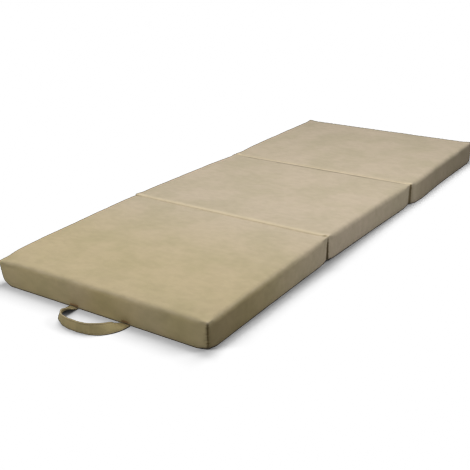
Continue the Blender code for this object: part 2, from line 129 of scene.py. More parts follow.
# %% Lamps
LAMPS = {
    "overhead": {"place": (-0.25, -0.1, 2.5), "aim": (-0.1, 0.0, 0.0), "size": 1.3, "watts": 36.0},
    "behind": {"place": (0.1, 1.2, 2.4), "aim": (0.0, 0.4, 0.0), "size": 1.2, "watts": 19.0},
    "side": {"place": (1.5, 0.0, 1.3), "aim": (0.4, 0.0, 0.05), "size": 0.7, "watts": 10.5},
    "front": {"place": (-0.5, -2.4, 1.7), "aim": (0.0, -0.9, 0.0), "size": 1.0, "watts": 22.0},
}

scene = bpy.context.scene
scene.view_settings.view_transform = "Standard"


def soft_lamp(name, place, aim, size, watts):
    """A square soft box that faces the point it is aimed at."""
    data = bpy.data.lights.new(name, "AREA")
    data.shape = "SQUARE"
    data.size = size
    data.energy = watts
    lamp = link(name, data)
    lamp.location = place
    lamp.rotation_mode = "QUATERNION"
    lamp.rotation_quaternion = (Vector(aim) - Vector(place)).to_track_quat("-Z", "Y")


for lamp_name, values in LAMPS.items():
    soft_lamp(lamp_name, **values)
print("lamps", len(LAMPS), "watts", sum(values["watts"] for values in LAMPS.values()))

# %% [markdown]
# The white behind the mattress is the world as the camera and clear reflections see it. The even light that the
# world gives to the object is far weaker. The floor only catches the shadow, and lets that same white show.

# %% World and floor
FILL_STRENGTH = 0.03
SEEN_STRENGTH = 1.0
FLOOR_HALF = 30.0
FLOOR_GREY = 0.45

world = bpy.data.worlds.new("studio")
scene.world = world
world.use_nodes = True
nodes, links = world.node_tree.nodes, world.node_tree.links
nodes.clear()
path = nodes.new("ShaderNodeLightPath")
shows_white = path.outputs["Is Camera Ray"]
for ray in ("Is Glossy Ray", "Is Transmission Ray"):
    either = nodes.new("ShaderNodeMath")
    either.operation = "MAXIMUM"
    links.new(shows_white, either.inputs[0])
    links.new(path.outputs[ray], either.inputs[1])
    shows_white = either.outputs["Value"]
choose = nodes.new("ShaderNodeMixShader")
links.new(shows_white, choose.inputs["Fac"])
for number, strength in ((1, FILL_STRENGTH), (2, SEEN_STRENGTH)):
    sky = nodes.new("ShaderNodeBackground")
    sky.inputs["Color"].default_value = (1.0, 1.0, 1.0, 1.0)
    sky.inputs["Strength"].default_value = strength
    links.new(sky.outputs["Background"], choose.inputs[number])
out = nodes.new("ShaderNodeOutputWorld")
links.new(choose.outputs["Shader"], out.inputs["Surface"])

floor_form = bmesh.new()
bmesh.ops.create_grid(floor_form, x_segments=1, y_segments=1, size=FLOOR_HALF)
floor_mesh = bpy.data.meshes.new("floor")
floor_form.to_mesh(floor_mesh)
floor_form.free()
floor = link("floor", floor_mesh)
floor_finish = bpy.data.materials.new("studio_floor")
floor_finish.use_nodes = True
floor_shader = floor_finish.node_tree.nodes["Principled BSDF"]
floor_shader.inputs["Base Color"].default_value = (FLOOR_GREY, FLOOR_GREY, FLOOR_GREY, 1.0)
floor_shader.inputs["Roughness"].default_value = 1.0
floor_shader.inputs["Specular IOR Level"].default_value = 0.0
floor_mesh.materials.append(floor_finish)
floor.is_shadow_catcher = True
print("floor", 2 * FLOOR_HALF, "m wide")

# %% [markdown]
# Materials are built from nodes, and a node takes several lines to make. These helpers each make one kind, join
# it up and hand back its output, so that a finish further down reads like a short recipe.

# %% Shader helpers
def object_place(tree):
    """The place of a point on the object itself, so that a pattern stays on the cloth when it moves."""
    return tree.nodes.new("ShaderNodeTexCoord").outputs["Object"]


def feed(tree, socket, value):
    """Give a socket a plain value, or join another node's output to it."""
    if isinstance(value, (float, tuple)):
        socket.default_value = value
    else:
        tree.links.new(value, socket)


def noise(tree, coordinates, scale, detail=2.0, roughness=0.5):
    node = tree.nodes.new("ShaderNodeTexNoise")
    given = {"Vector": coordinates, "Scale": scale, "Detail": detail, "Roughness": roughness}
    for socket, value in given.items():
        feed(tree, node.inputs[socket], value)
    return node.outputs["Fac"]


def spread(tree, value, low, high, to_low=0.0, to_high=1.0):
    """Stretch a value's range from low..high to to_low..to_high, softly."""
    node = tree.nodes.new("ShaderNodeMapRange")
    node.interpolation_type = "SMOOTHSTEP"
    given = {"Value": value, "From Min": low, "From Max": high, "To Min": to_low, "To Max": to_high}
    for socket, number in given.items():
        feed(tree, node.inputs[socket], number)
    return node.outputs["Result"]


def calculate(tree, operation, first, second):
    node = tree.nodes.new("ShaderNodeMath")
    node.operation = operation
    feed(tree, node.inputs[0], first)
    feed(tree, node.inputs[1], second)
    return node.outputs["Value"]


def mix(tree, factor, first, second, blend="MIX"):
    """Mix two colours. The colour sockets of this node are its seventh and eighth, and the third output."""
    node = tree.nodes.new("ShaderNodeMix")
    node.data_type = "RGBA"
    node.blend_type = blend
    for number, value in ((0, factor), (6, first), (7, second)):
        feed(tree, node.inputs[number], value)
    return node.outputs[2]


def add_bump(tree, shader, height, depth, strength):
    bump = tree.nodes.new("ShaderNodeBump")
    bump.inputs["Distance"].default_value = depth
    bump.inputs["Strength"].default_value = strength
    tree.links.new(height, bump.inputs["Height"])
    tree.links.new(bump.outputs["Normal"], shader.inputs["Normal"])


def base_material(name, roughness, sheen=0.0, metallic=0.0):
    finish = bpy.data.materials.new(name)
    finish.use_nodes = True
    shader = finish.node_tree.nodes["Principled BSDF"]
    given = {"Roughness": roughness, "Metallic": metallic, "Sheen Weight": sheen, "Sheen Roughness": 0.5}
    for socket, value in given.items():
        shader.inputs[socket].default_value = value
    return finish, finish.node_tree, shader


# %% [markdown]
# Suede-like microfibre has a short brushed pile. It has no visible weave: what one sees is a soft mottling where
# the pile lies this way or that, a lighter tone where the cloth is bent and rubbed, and dark seams and stains. The
# same
# masks also paint light into the colour: highlights along folds, ears and edges, shade in slits and on parts of
# the sides, and a yellower tone where less sheen whitens the cloth. All the cloths share that effect, so it is a
# shader group, placed in each material with its own values.

# %% Shader group of brushed cloth
COLOUR, NUMBER = "NodeSocketColor", "NodeSocketFloat"
COLOUR_INPUTS = ("Light Colour", "Dark Colour", "Pale Colour")
NUMBER_INPUTS = ("Highlight_And_Wear", "Seams_Stains_And_Shade", "Yellowing_And_Sheen", "Mottle Scale", "Pile Scale", "Pile Contrast")
PATCH_FINENESS = 7.0
PATCH_STREAK = (0.62, 1.0, 1.0)
PATCH_SHADES = (0.965, 1.035)
# Multiplied in where the cloth is painted as if it had less sheen: a yellower tone.
YELLOWED_BY = (1.0, 0.96, 0.62, 1.0)
# Multiplied in for painted shade in the slits and on the sides, and for dark seams and stains.
DARKENED_BY = (0.27, 0.225, 0.12, 1.0)

brushed = bpy.data.node_groups.new("brushed cloth", "ShaderNodeTree")
for kind, names in ((COLOUR, COLOUR_INPUTS), (NUMBER, NUMBER_INPUTS)):
    for name in names:
        brushed.interface.new_socket(name, in_out="INPUT", socket_type=kind)
for name, kind in (("Colour", COLOUR), ("Height", NUMBER)):
    brushed.interface.new_socket(name, in_out="OUTPUT", socket_type=kind)
given, result = brushed.nodes.new("NodeGroupInput").outputs, brushed.nodes.new("NodeGroupOutput")

place = object_place(brushed)
broad = spread(brushed, noise(brushed, place, given["Mottle Scale"], 3.0, 0.55), 0.33, 0.67)
tone = mix(brushed, broad, given["Dark Colour"], given["Light Colour"])
# Painted sheen: a yellower tone where the cloth would show less whitening sheen, mixed in by its mask.
yellowed = mix(brushed, 1.0, tone, YELLOWED_BY, "MULTIPLY")
tone = mix(brushed, given["Yellowing_And_Sheen"], tone, yellowed)
# Painted highlight and rubbed pile: the pale colour, where its mask says.
tone = mix(brushed, given["Highlight_And_Wear"], tone, given["Pale Colour"])

streaked = brushed.nodes.new("ShaderNodeVectorMath")
streaked.operation = "MULTIPLY"
streaked.inputs[1].default_value = PATCH_STREAK
brushed.links.new(place, streaked.inputs[0])
patch_scale = calculate(brushed, "MULTIPLY", given["Mottle Scale"], PATCH_FINENESS)
patches = noise(brushed, streaked.outputs["Vector"], patch_scale, 3.0, 0.6)
patches = spread(brushed, patches, 0.3, 0.7, *PATCH_SHADES)
pile = noise(brushed, place, given["Pile Scale"], 2.0, 0.7)
shade_of_pile = calculate(brushed, "SUBTRACT", pile, 0.5)
shade_of_pile = calculate(brushed, "MULTIPLY", shade_of_pile, given["Pile Contrast"])
shade_of_pile = calculate(brushed, "ADD", shade_of_pile, patches)
shade_colour = brushed.nodes.new("ShaderNodeCombineColor")
for channel in shade_colour.inputs:
    brushed.links.new(shade_of_pile, channel)
tone = mix(brushed, 1.0, tone, shade_colour.outputs["Color"], "MULTIPLY")
# Painted shade, dark seams and stains: the cloth darkened, where their mask says.
darkened = mix(brushed, 1.0, tone, DARKENED_BY, "MULTIPLY")
tone = mix(brushed, given["Seams_Stains_And_Shade"], tone, darkened)
brushed.links.new(tone, result.inputs["Colour"])
brushed.links.new(pile, result.inputs["Height"])
print("group", brushed.name, "with", len(brushed.nodes), "nodes")

# %% [markdown]
# Four cloths use the group. The cover, the hinges and the strap are the same suede, and the strap is a tone
# darker. The underside is a plainer cloth. Where a mesh stores its own masks, they say where it gets a painted
# highlight or is rubbed, where it gets painted shade or has dark seams and stains, and where it is painted
# yellower in place of sheen, so the same material looks right on every section.

# %% Cloth materials
SUEDE_LIGHT = (0.497, 0.415, 0.307)
SUEDE_DARK = (0.448, 0.382, 0.270)
# The pale colour of painted highlights and of rubbed pile.
SUEDE_PALE = (0.615, 0.520, 0.360)
STRAP_LIGHT = (0.475, 0.395, 0.265)
STRAP_DARK = (0.42, 0.355, 0.235)
UNDERSIDE_LIGHT = (0.40, 0.335, 0.235)
UNDERSIDE_DARK = (0.36, 0.30, 0.21)
PILE_CONTRAST = 0.10
PILE_DEPTH = 0.0005


def brushed_material(name, light, dark, mottle_scale, pile_scale, masks=True):
    """A brushed cloth, with the masks of the mesh it is put on."""
    finish, tree, shader = base_material(name, 0.93, sheen=0.06)
    shader.inputs["Specular IOR Level"].default_value = 0.15
    use = tree.nodes.new("ShaderNodeGroup")
    use.node_tree = brushed
    for socket, colour in (("Light Colour", light), ("Dark Colour", dark), ("Pale Colour", SUEDE_PALE)):
        use.inputs[socket].default_value = (*colour, 1.0)
    use.inputs["Mottle Scale"].default_value = mottle_scale
    use.inputs["Pile Scale"].default_value = pile_scale
    use.inputs["Pile Contrast"].default_value = PILE_CONTRAST
    if masks:
        for socket in ("Highlight_And_Wear", "Seams_Stains_And_Shade", "Yellowing_And_Sheen"):
            mask = tree.nodes.new("ShaderNodeAttribute")
            mask.attribute_name = socket.lower()
            tree.links.new(mask.outputs["Fac"], use.inputs[socket])
    tree.links.new(use.outputs["Colour"], shader.inputs["Base Color"])
    add_bump(tree, shader, use.outputs["Height"], PILE_DEPTH, 0.35)
    return finish


suede = brushed_material("suede", SUEDE_LIGHT, SUEDE_DARK, 7.0, 900.0)
underside_cloth = brushed_material("underside_cloth", UNDERSIDE_LIGHT, UNDERSIDE_DARK, 9.0, 1200.0, masks=False)
hinge_suede = brushed_material("hinge_suede", SUEDE_LIGHT, SUEDE_DARK, 9.0, 900.0)
strap_suede = brushed_material("strap_suede", STRAP_LIGHT, STRAP_DARK, 30.0, 1100.0)
print("cloth materials", suede.name, underside_cloth.name, hinge_suede.name, strap_suede.name)

# %% [markdown]
# A box grid is a plain box whose faces are cut into squares. It is what the flat cloth pattern would be: each of
# its points is later moved on to the stuffed form. The lines lie close together near the edges, where the cloth
# rolls over, and further apart on the flats.

# %% Box grids
EDGE_OFFSETS = (0.0, 0.0018, 0.004, 0.0065, 0.0095, 0.013, 0.0175, 0.0235, 0.031)
# Two axes to walk along, the axis that stays still, the names of its low and high side, and the one to turn over.
BOX_SIDES = (
    (0, 1, 2, ("bottom", "top"), "bottom"),
    (0, 2, 1, ("near", "far"), "far"),
    (1, 2, 0, ("left", "right"), "left"),
)


def even_lines(low, high, pitch):
    return np.linspace(low, high, max(2, round((high - low) / pitch)) + 1)


def through(lines, wanted):
    """Lines in order, with the nearest one moved on to each wanted place."""
    lines = list(lines)
    for line in wanted:
        nearest = min(range(len(lines)), key=lambda index: abs(lines[index] - line))
        lines[nearest] = line
    return np.array(sorted(lines))


def graded_lines(half, pitch, wanted=()):
    """Lines from -half to half: close together at both ends, and evenly spaced between."""
    inner = half - EDGE_OFFSETS[-1]
    lines = list(even_lines(-inner, inner, pitch))
    lines += [sign * (half - offset) for sign in (-1, 1) for offset in EDGE_OFFSETS[:-1]]
    return through(lines, wanted)


def box_grid(*lines):
    """Points on the box's surface, its quads facing outwards, and the side that each quad lies on."""
    last = [len(axis_lines) - 1 for axis_lines in lines]
    index, points, quads, sides = {}, [], [], []

    def corner(at):
        if at not in index:
            index[at] = len(points)
            points.append(tuple(axis_lines[number] for axis_lines, number in zip(lines, at)))
        return index[at]

    for first, second, still, names, turned in BOX_SIDES:
        for i in range(last[first]):
            for j in range(last[second]):
                for end, side in enumerate(names):
                    at, quad = [end * last[still]] * 3, []
                    for step_i, step_j in ((0, 0), (1, 0), (1, 1), (0, 1)):
                        at[first], at[second] = i + step_i, j + step_j
                        quad.append(corner(tuple(at)))
                    quads.append(quad[::-1] if side == turned else quad)
                    sides.append(side)
    return np.array(points), quads, sides


SECTION_GRID = box_grid(
    graded_lines(HALF_WIDTH, 0.0085),
    graded_lines(HALF_LENGTH, 0.0085, (-ZIP_HALF_LENGTH, ZIP_HALF_LENGTH)),
    through(even_lines(0.0, EDGE_HEIGHT, 0.0027), (ZIP_LOW, ZIP_HIGH)),
)
print("fine grid", len(SECTION_GRID[0]), "points", len(SECTION_GRID[1]), "quads")

# %% [markdown]
# Everything about a section's form depends on how far a point lies from the edges, the upright corners and the
# folds. The front fold of the real mattress stands a little proud of the floor, so both sections rise gently
# towards it on the side that shows, and there is a shallow dip at the rear fold.

# %% Distances, folds and waves
FOLD_RISE = 0.0126
FOLD_REACH = 0.65
REAR_DIP = 0.0035
REAR_DIP_WIDTH = 0.10


def distances(flat, section):
    """Places on the flat box, the place along the mattress, and how far from the side, the end and the top."""
    x, y, z = flat.T
    return x, y, z, y + SECTION_Y[section], HALF_WIDTH - np.abs(x), HALF_LENGTH - np.abs(y), EDGE_HEIGHT - z


def beside(world_y, fold_y):
    """Whether a point lies in the half of a section that ends at this fold."""
    return np.abs(world_y - fold_y) < HALF_LENGTH / 2


def fold_rise(x, world_y, height_share):
    """How far the front fold lifts a point, less the shallow dip at the rear fold."""
    along = np.clip(1.0 - np.abs(world_y - FOLD_FRONT_Y) / FOLD_REACH, 0.0, 1.0)
    from_left = smooth(x, -HALF_WIDTH, 0.1)
    from_low = smooth(height_share, 0.45, 0.85)
    carried = 1.0 - (1.0 - from_left) * (1.0 - from_low)
    dip = REAR_DIP * bell(world_y - FOLD_REAR_Y, REAR_DIP_WIDTH) * height_share
    return along * carried * FOLD_RISE - dip


def ripple(along, wavelength, seed):
    """An uneven wave along a seam, about 1 high, that never quite repeats."""
    phases = np.random.default_rng(seed).uniform(0.0, 2.0 * math.pi, 4)
    total = np.zeros_like(along)
    for share, weight, phase in zip((1.0, 1.37, 0.63, 2.1), (0.6, 0.35, 0.3, 0.2), phases):
        total += weight * np.sin(2.0 * math.pi * share * along / wavelength + phase)
    return total


print("rise at the front fold", round(1000 * FOLD_RISE, 1), "mm")

# %% [markdown]
# Cloth doesn't turn a sharp corner over foam, it rolls. The roll is wide along the outer top edges, tighter at the
# folds and tightest along the lower seam. Each upright corner has its own roll, a little different at the corners
# where the real one is stuffed more loosely, and it narrows upwards to the point of a small ear.

# %% How the edges roll
EDGE_ROLL = 0.012
OUTER_ROLL = 0.0165
LOWER_ROLL = 0.004
UPRIGHT_ROLL = 0.0105
UPRIGHT_FOOT_ROLL = 0.013
EAR_ROLL = 0.0050
BRIDGE_ROLL = 0.0030
ROUND_CORNERS = {("front", -1, -1): 0.019, ("front", 1, -1): 0.014, ("rear", 1, -1): 0.013}
FOOT_OF_ROUND = 1.35
EAR_START, TAPERED_START, BRIDGED_START = 0.058, 0.010, 0.040


def roll_radius(flat, section):
    """The radius with which the cloth rolls over the foam at each point."""
    x, y, z, world_y, from_side, from_end, _ = distances(flat, section)
    side_x, side_y = np.sign(x), np.sign(y)
    at_front_fold, at_rear_fold = beside(world_y, FOLD_FRONT_Y), beside(world_y, FOLD_REAR_Y)
    along_fold = (at_front_fold | at_rear_fold) * smooth(from_side - from_end, -0.012, 0.012)
    turned_to_us = smooth(x, -0.40, -0.20) * smooth(-world_y, -0.90, -0.70)
    upper_roll = EDGE_ROLL + (OUTER_ROLL - EDGE_ROLL) * turned_to_us * (1.0 - along_fold)
    roll = LOWER_ROLL + (upper_roll - LOWER_ROLL) * np.clip(z / 0.045, 0.0, 1.0)
    foot, head = np.full_like(x, UPRIGHT_FOOT_ROLL), np.full_like(x, UPRIGHT_ROLL)
    for (owner, way_x, way_y), radius in ROUND_CORNERS.items():
        here = (side_x == way_x) & (side_y == way_y) & (owner == section)
        foot, head = np.where(here, FOOT_OF_ROUND * radius, foot), np.where(here, radius, head)
    upright = foot + (head - foot) * smooth(z, 0.0, 0.040)
    tapered = (side_x < 0) & (side_y < 0) & (section == "front")
    bridged = at_front_fold & (side_x > 0)
    ear_start = np.where(tapered, TAPERED_START, np.where(bridged, BRIDGED_START, EAR_START))
    upright = upright + (np.where(bridged, BRIDGE_ROLL, EAR_ROLL) - upright) * smooth(z, ear_start, EDGE_HEIGHT)
    return roll + (upright - roll) * bell(np.hypot(from_side, from_end), 0.030, 4)


print("rolls from", 1000 * LOWER_ROLL, "to", 1000 * OUTER_ROLL, "mm")

# %% [markdown]
# A sewn side is never flat. Cloth gathers along the lower seam, billows between the seams, puckers beside each
# upright seam, where it also sinks into a groove, and wrinkles at the folds. Most of these are uneven waves that
# fade away from their seam. The long side with the zip stays straight, because a slider runs along it.

# %% Relief of the sides
SECTION_SEED = {"front": 11, "middle": 23, "rear": 37}
GATHER_DEPTH, GATHER_PITCH = 0.00055, 0.024
SEAM_PINCH = 0.0007
BILLOW_DEPTH, BILLOW_PITCH = 0.0006, 0.21
PUCKER_DEPTH, PUCKER_PITCH = 0.0010, 0.0105
NEAR_PUCKER_DEPTH = {"front": 0.0019, "middle": 0.0015, "rear": 0.0015}
GROOVE_DEPTH, GROOVE_WIDTH = 0.0013, 0.0026
WRINKLE_DEPTH, WRINKLE_PITCH = 0.0012, 0.0095
WRINKLED = {"front": 0.45, "middle": 0.45, "rear": 1.0}
FLATTEST = 1e-6


def zip_calm(flat):
    """0 round the zip and 1 everywhere else."""
    x, y, z = flat.T
    by_zip = (x < 0) * smooth(-x, 0.37, 0.395)
    return 1.0 - by_zip * smooth(-np.abs(y), -0.312, -0.300) * smooth(-z, -0.062, -0.045)


def side_relief(flat, section, calm):
    """How far each point of an upright face stands out from it."""
    x, y, z, world_y, from_side, from_end, from_top = distances(flat, section)
    side_x, side_y, on_side = np.sign(x), np.sign(y), from_side < FLATTEST
    at_fold = beside(world_y, FOLD_FRONT_Y) | beside(world_y, FOLD_REAR_Y)
    along = np.where(on_side, y + 1.7 * side_x, x + 3.1 * side_y)
    seed = SECTION_SEED[section]
    gathers = GATHER_DEPTH * np.exp(-z / 0.012) * ripple(along, GATHER_PITCH, seed)
    gathers -= SEAM_PINCH * bell(z, 0.004)
    swollen = np.sin(math.pi * np.clip(z / EDGE_HEIGHT, 0.0, 1.0))
    billow = BILLOW_DEPTH * swollen * ripple(along, BILLOW_PITCH, seed + 1)
    seam_way = from_side + from_end
    depth = np.where((side_x > 0) & (side_y < 0), NEAR_PUCKER_DEPTH[section], PUCKER_DEPTH)
    puckers = depth * np.exp(-seam_way / 0.013) * (1.0 - np.exp(-seam_way / 0.002))
    puckers = puckers * smooth(from_top, 0.004, 0.016)
    puckers = puckers * (ripple(z, PUCKER_PITCH, seed + 2) + 0.4 * np.where(on_side, 1.0, -1.0))
    groove = -GROOVE_DEPTH * bell(seam_way, GROOVE_WIDTH) * smooth(from_top, 0.002, 0.012) * smooth(z, 0.0, 0.006)
    wrinkles = WRINKLE_DEPTH * WRINKLED[section] * np.exp(-from_end / 0.022)
    wrinkles = wrinkles * smooth(from_end, 0.0, 0.006) * at_fold
    wrinkles = wrinkles * ripple(np.abs(y) + 0.25 * z, WRINKLE_PITCH, seed + 4)
    wrinkles = wrinkles * smooth(from_top, 0.004, 0.02) * on_side
    return calm * (gathers + billow * smooth(seam_way, 0.0, 0.05)) + puckers + groove + zip_calm(flat) * wrinkles


print("deepest pucker", 1000 * max(NEAR_PUCKER_DEPTH.values()), "mm")

# %% [markdown]
# Now the whole form. A point is pushed out from the foam by the roll's radius, the top crowns and the sides draw
# in between the corners. At the folds the two ends press against each other, and the ears stand up. Some places
# have ways of their own in the photograph: two ears droop, and beyond the rear fold the section leans and bulges.

# %% Form of a stuffed section
DRAW_IN = 0.0015
PRESS = 0.0012
EAR_SIZE = 0.015
EAR_ASIDE, EAR_UP = (0.0004, 0.0010), (0.0006, 0.0016)
EAR_OUT_FREE, EAR_OUT_REAR, EAR_OUT_FRONT = 0.0004, 0.0002, 0.0017
LEFT_BOW = {"front": 0.0058, "middle": 0.0036, "rear": 0.0040}
FOLD_EAR_DROP, FOLD_EAR_DROP_SIZE = 0.0050, 0.022
NEAR_EAR_DROP, NEAR_EAR_DROP_SIZE = 0.0085, 0.055
BRIDGE_OUT, BRIDGE_WIDTH, BRIDGE_DEPTH = 0.00105, 0.014, 0.0215
REAR_SLIT_LEAN = 0.0060
EDGE_WAVE, EDGE_WAVE_PITCH = 0.0004, 0.17
SLUMP, SLUMP_Y, SLUMP_WIDTH = 0.0065, -0.23, 0.13
FOLD_BULGE = 0.0045


def stuffed(flat, section):
    """Move points of a box grid on to the stuffed form of a section, in the frame of the whole mattress."""
    x, y, z, world_y, from_side, from_end, from_top = distances(flat, section)
    side_x, side_y = np.sign(x), np.sign(y)
    share_x, share_y, height_share = x / HALF_WIDTH, y / HALF_LENGTH, z / EDGE_HEIGHT
    at_front_fold, at_rear_fold = beside(world_y, FOLD_FRONT_Y), beside(world_y, FOLD_REAR_Y)
    at_fold = at_front_fold | at_rear_fold
    to_upright = np.hypot(from_side, from_end)
    to_ear = np.hypot(to_upright, from_top)

    roll = roll_radius(flat, section)
    inner_x = np.clip(x, roll - HALF_WIDTH, HALF_WIDTH - roll)
    inner_y = np.clip(y, roll - HALF_LENGTH, HALF_LENGTH - roll)
    inner = np.stack([inner_x, inner_y, np.clip(z, roll, EDGE_HEIGHT - roll)], 1)
    outward = flat - inner
    outward /= np.linalg.norm(outward, axis=1)[:, None]
    place = inner + outward * roll[:, None]

    place[:, 2] += CROWN * (1.0 - share_x**2) * (1.0 - share_y**2) * height_share
    draw_x, draw_y = DRAW_IN * (1.0 - share_y**2), DRAW_IN * (1.0 - share_x**2)
    place[:, 0] -= share_x * draw_x
    place[:, 1] -= share_y * draw_y
    near_end = smooth(np.abs(y), HALF_LENGTH - 0.02, HALF_LENGTH)
    pressed = at_front_fold * (draw_y + PRESS) * smooth(height_share, 0.1, 0.55)
    pressed += at_rear_fold * draw_y * np.sin(math.pi * np.clip(height_share, 0.0, 1.0))
    place[:, 1] += side_y * near_end * pressed

    ear = bell(to_ear, EAR_SIZE)
    ear_out = np.where(at_front_fold, EAR_OUT_FRONT, np.where(at_rear_fold, EAR_OUT_REAR, EAR_OUT_FREE))
    place[:, 0] += side_x * np.where(at_fold, EAR_ASIDE[1], EAR_ASIDE[0]) * ear
    place[:, 1] += side_y * ear_out * ear
    place[:, 2] += np.where(at_fold, EAR_UP[1], EAR_UP[0]) * ear
    bow = LEFT_BOW[section] * (1.0 - share_y**4) * (1.0 - 0.25 * (1.0 + share_y)) * smooth(-x, 0.22, 0.40)
    place[:, 2] += bow * height_share
    if section == "front":
        sunk = (side_x < 0) * (side_y > 0) * bell(to_ear, FOLD_EAR_DROP_SIZE)
        droop = (side_x < 0) * (side_y < 0) * bell(to_ear, NEAR_EAR_DROP_SIZE)
        place[:, 2] -= (FOLD_EAR_DROP * sunk + NEAR_EAR_DROP * droop) * height_share
    bridged = at_front_fold & (side_x > 0)
    bridge = bridged * bell(to_upright, BRIDGE_WIDTH) * bell(from_top, BRIDGE_DEPTH, 6)
    place[:, 1] += side_y * BRIDGE_OUT * bridge * (1.0 - ear)
    lean = REAR_SLIT_LEAN * (1.0 - height_share) * smooth(x, 0.20, 0.40) * bell(from_end, 0.06)
    place[:, 1] -= at_rear_fold * lean

    calm = zip_calm(flat) * (1.0 - 0.75 * near_end * at_fold)
    relief = side_relief(flat, section, calm)
    place[:, 0] += np.where(from_side < FLATTEST, side_x * relief, 0.0)
    place[:, 1] += np.where(from_end < FLATTEST, side_y * relief, 0.0)
    rolled = bell(np.minimum(from_side, from_end), 0.02) * smooth(height_share, 0.7, 1.0)
    edge_wave = ripple(np.where(from_side < from_end, y, x), EDGE_WAVE_PITCH, SECTION_SEED[section] + 3)
    place[:, 2] += EDGE_WAVE * rolled * edge_wave * calm
    if section == "rear":
        bulge = SLUMP * bell(y - SLUMP_Y, SLUMP_WIDTH) + FOLD_BULGE * smooth(y, -0.32, -0.22)
        place[:, 0] += bulge * smooth(x, 0.30, 0.40) * (1.0 - 0.45 * height_share)
    place[:, 2] = np.maximum(place[:, 2], 0.0)
    place[:, 2] += fold_rise(x, world_y, height_share)
    place[:, 1] += SECTION_Y[section]
    return place


form = stuffed(SECTION_GRID[0], "middle")
print("middle section", np.round(form.max(0) - form.min(0), 4), "m")

# %% [markdown]
# Real cloth on foam is never quite even. A short cloth simulation gives each section its slack: a coarse copy of
# the form is held along its seams, its cloth is a little too large for it, and a slight pressure from inside lets
# it settle into shallow folds. Only the small moves it makes are kept, with a limit on each, so that the shape
# stays inside the solid it stands for. The copy is then thrown away.

# %% Settle the cloth
SIM_PITCH = 0.0095
SIM_FRAMES = 18
SIM_LIMIT = 0.0016
CLOTH_SETTINGS = {
    "quality": 6,
    "mass": 0.25,
    "tension_stiffness": 25.0,
    "compression_stiffness": 25.0,
    "shear_stiffness": 8.0,
    "bending_stiffness": 0.25,
    "vertex_group_mass": "held",
    "shrink_min": -0.014,
    "use_pressure": True,
    "uniform_pressure_force": 2.0,
}


def held_share(flat, section):
    """How firmly the cloth is held at each point: wholly at seams, folds and the zip, not at all on the sides."""
    x, y, z, world_y, from_side, from_end, _ = distances(flat, section)
    to_edge = np.minimum(from_side, from_end)
    seams = (z < 0.004) | ((from_side + from_end < 0.006) & (z < EDGE_HEIGHT))
    flats = (z > EDGE_HEIGHT - FLATTEST) * smooth(to_edge, 0.05, 0.15)
    rolled_edges = 0.75 * (z > EDGE_HEIGHT - 0.012) * (to_edge < 0.02)
    zipped = (x < 0.001 - HALF_WIDTH) & (np.abs(y) < 0.31) & (z < 0.05)
    fold_ends = np.abs(np.abs(world_y) - FOLD_REAR_Y) < 0.012
    return np.maximum.reduce([(seams | zipped | fold_ends).astype(float), flats, rolled_edges])


def settled_moves(section):
    """Where the simulated cloth goes: points on the flat grid, and how far each one moves."""
    ends = (-HALF_WIDTH, HALF_WIDTH), (-HALF_LENGTH, HALF_LENGTH), (0.0, EDGE_HEIGHT)
    flat, quads, _ = box_grid(*(even_lines(low, high, SIM_PITCH) for low, high in ends))
    start = stuffed(flat, section)
    mesh = bpy.data.meshes.new("slack_cloth")
    mesh.from_pydata(start.tolist(), [], quads)
    cloth_copy = link("slack_cloth", mesh)
    group = cloth_copy.vertex_groups.new(name="held")
    for number, weight in enumerate(held_share(flat, section)):
        group.add([number], float(weight), "REPLACE")
    cloth = cloth_copy.modifiers.new("cloth", "CLOTH")
    for setting, value in CLOTH_SETTINGS.items():
        setattr(cloth.settings, setting, value)
    cloth.settings.effector_weights.gravity = 0.0
    cloth.collision_settings.use_collision = False
    for number in range(1, SIM_FRAMES + 1):
        scene.frame_set(number)
    settled = cloth_copy.evaluated_get(bpy.context.evaluated_depsgraph_get())
    end = np.array([vert.co for vert in settled.data.vertices])
    scene.frame_set(1)
    bpy.data.objects.remove(cloth_copy)
    moves = end - start
    far = np.linalg.norm(moves, axis=1)
    mean_move, most = (round(1000 * float(value), 2) for value in (far.mean(), far.max()))
    print(section, "cloth moved", mean_move, "mm, most", most)
    moves *= (SIM_LIMIT * np.tanh(far / SIM_LIMIT) / np.maximum(far, 1e-9))[:, None]
    return flat, moves


print("the simulation takes", SIM_FRAMES, "frames, and a move is at most", 1000 * SIM_LIMIT, "mm")

# %% [markdown]
# The copy has fewer points than the real cover, so its moves have to be spread over the fine grid. Each fine
# point takes the moves of the four nearest coarse ones, the nearer the more. A KD-tree finds them quickly.

# %% Hand the moves over
def hand_over(flat, moves, points):
    """The moves at other points of the flat pattern, each from the nearest four."""
    tree = KDTree(len(flat))
    for number, place in enumerate(flat):
        tree.insert(place, number)
    tree.balance()
    carried = np.zeros_like(points)
    for number, place in enumerate(points):
        found = tree.find_n(place, 4)
        weights = np.array([1.0 / (distance + 1e-4) ** 2 for _, _, distance in found])
        near = moves[[item for _, item, _ in found]]
        carried[number] = (near * weights[:, None]).sum(0) / weights.sum()
    return carried


print("moves go to", len(SECTION_GRID[0]), "points of each section")

# %% [markdown]
# Where a cloth looks pale, dark or yellower depends on its place on the mattress, not on a pattern. So each of
# the three is a value stored on the points of the mesh, which the material reads. A painted highlight runs along
# the folds and over the ears; the rolled edges get pale rubbed pile and a fainter painted highlight.

# %% Masks of painted highlight, rubbed pile and painted sheen
NEAR_BANK_HIGHLIGHT, FAR_BANK_HIGHLIGHT, BANK_WIDTH = 0.12, 1.0, 0.0075
EAR_HIGHLIGHT, FOLD_EAR_HIGHLIGHT, EAR_HIGHLIGHT_SIZE = 0.5, 0.9, 0.009
EDGE_HIGHLIGHT_AND_WEAR, HIDDEN_EDGE_HIGHLIGHT_AND_WEAR = 0.22, 0.05
SEAM_HIGHLIGHT = 0.35
